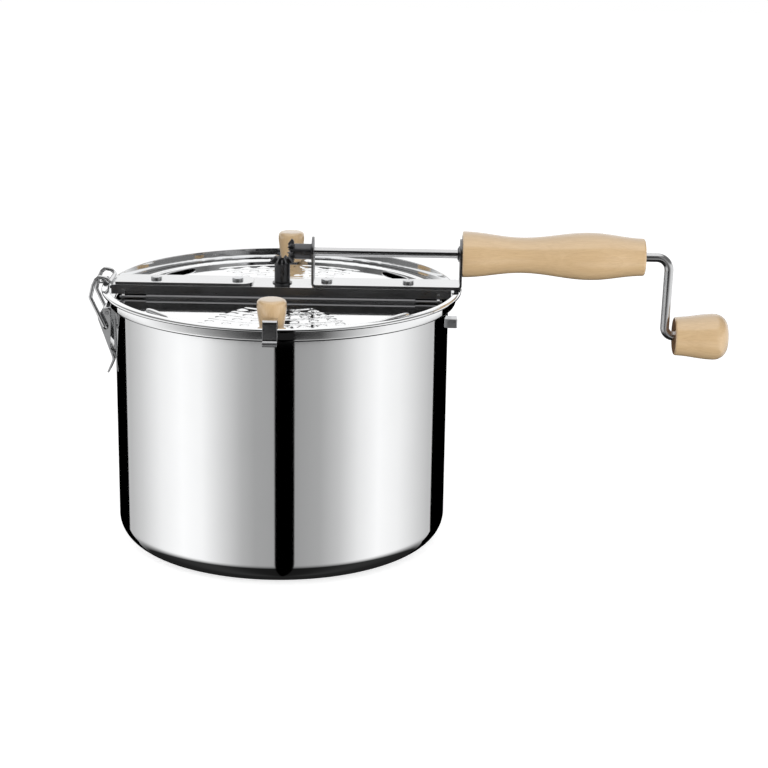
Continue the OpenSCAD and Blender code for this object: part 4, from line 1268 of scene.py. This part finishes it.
# %% Flags
FLAG_NEAR_X = 0.098
FLAG_FAR_X = 0.415
FLAG_Y = 0.24
FLAG_LOW = -0.25
FLAG_HIGH = 0.16


def no_light(tree):
    return add(tree, "ShaderNodeEmission", {"Color": BLACK, "Strength": 0.0}).outputs[0]


def board(name, corners, finish):
    """One flat face from corners in metres."""
    flat = solid(name, [(x / MM, y / MM, z / MM) for x, y, z in corners], [(0, 1, 2, 3)])
    flat.data.materials.append(finish)
    return flat


flag_paint = stage_material("black flag", no_light)
for name, sign in (("flag_left", -1), ("flag_right", 1)):
    near, far = sign * FLAG_NEAR_X, sign * FLAG_FAR_X
    flag = board(name, [(near, FLAG_Y, FLAG_LOW), (far, FLAG_Y, FLAG_LOW),
                        (far, FLAG_Y, FLAG_HIGH), (near, FLAG_Y, FLAG_HIGH)], flag_paint)
    flag.rotation_euler.z = CAMERA_TURN
    only_reflected(flag)

# %% [markdown]
# The floor is pale and takes a faint shadow. To the camera it glows a little, so that it is white
# like the background without more light on the object. The world does the same: the camera and
# reflections see white, while the object is lit by less.

# %% Floor and world
FLOOR_HALF = 4.0
FLOOR_COLOR = (0.85, 0.85, 0.85, 1.0)
FLOOR_GLOW = 0.65
WORLD_LIGHT = 0.47


def floor_shade(tree):
    pale = add(tree, "ShaderNodeBsdfDiffuse", {"Color": FLOOR_COLOR})
    seen = add(tree, "ShaderNodeLightPath")
    glow = spread(tree, seen.outputs["Is Camera Ray"], 0.0, 1.0, 0.0, FLOOR_GLOW)
    lift = add(tree, "ShaderNodeEmission", {"Color": WHITE, "Strength": glow})
    both = add(tree, "ShaderNodeAddShader", {0: pale.outputs[0], 1: lift.outputs[0]})
    return both.outputs[0]


floor = board("floor", [(-FLOOR_HALF, -FLOOR_HALF, 0), (FLOOR_HALF, -FLOOR_HALF, 0),
                        (FLOOR_HALF, FLOOR_HALF, 0), (-FLOOR_HALF, FLOOR_HALF, 0)],
              stage_material("pale floor", floor_shade))
floor.visible_glossy = False

world = bpy.data.worlds.new("white studio")
bpy.context.scene.world = world
world.use_nodes = True
sky = world.node_tree
ray = add(sky, "ShaderNodeLightPath").outputs
shown = calc(sky, "MAXIMUM", calc(sky, "MAXIMUM", ray["Is Camera Ray"], ray["Is Glossy Ray"]),
             ray["Is Transmission Ray"])
feed(sky, sky.nodes["Background"],
     {"Color": WHITE, "Strength": spread(sky, shown, 0.0, 1.0, WORLD_LIGHT, 1.0)})

# %% [markdown]
# Three soft lamps give the wood and the dull steel their shape: one high at the left front, one
# low at the right front and a faint one behind. Reflections don't show them, because the tent
# already says what a mirror sees.

# %% Lamps
LAMPS_LOOK_AT = Vector((0.06, 0, 0.12))
# Name: place, size and power
LAMPS = {
    "key_lamp": ((-0.45, -1.25, 0.8), 0.9, 5),
    "fill_lamp": ((0.9, -1.1, 0.3), 0.6, 7),
    "back_lamp": ((0.2, 1.3, 1.0), 1.0, 1.5),
}


def softbox(name, place, size, power):
    lamp = bpy.data.lights.new(name, "AREA")
    lamp.shape = "SQUARE"
    lamp.size = size
    lamp.energy = power
    holder = new_object(name, lamp)
    holder.location = place
    holder.rotation_mode = "QUATERNION"
    holder.rotation_quaternion = (Vector(place) - LAMPS_LOOK_AT).to_track_quat("Z", "Y")
    holder.visible_glossy = False


for name, how in LAMPS.items():
    softbox(name, *how)
print("lamps", len(LAMPS))

# %% [markdown]
# The camera stands where the photograph was taken: a little over a metre in front, 16 degrees
# above the horizon, turned and rolled by less than a degree, with a long lens.

# %% Camera
CAMERA_DISTANCE = 1.3
CAMERA_ELEVATION = math.radians(16.18)
CAMERA_ROLL = math.radians(0.88)
CAMERA_LENS = 89.93
CAMERA_SENSOR = 36.0
AIM = Vector((0.0689, 0.0, 0.1057))
camera_data = bpy.data.cameras.new("camera")
camera_data.lens = CAMERA_LENS
camera_data.sensor_width = CAMERA_SENSOR
camera = new_object("camera", camera_data)
aside = Matrix.Rotation(CAMERA_TURN, 3, "Z")
back_off = Vector((0, -math.cos(CAMERA_ELEVATION), math.sin(CAMERA_ELEVATION)))
camera.location = aside @ (AIM + CAMERA_DISTANCE * back_off)
level_view = aside @ Matrix.Rotation(math.pi / 2 - CAMERA_ELEVATION, 3, "X")
camera.rotation_euler = (level_view @ Matrix.Rotation(CAMERA_ROLL, 3, "Z")).to_euler()
bpy.context.scene.camera = camera
bpy.context.scene.view_settings.view_transform = "Standard"
print("camera at", [round(v, 3) for v in camera.location])
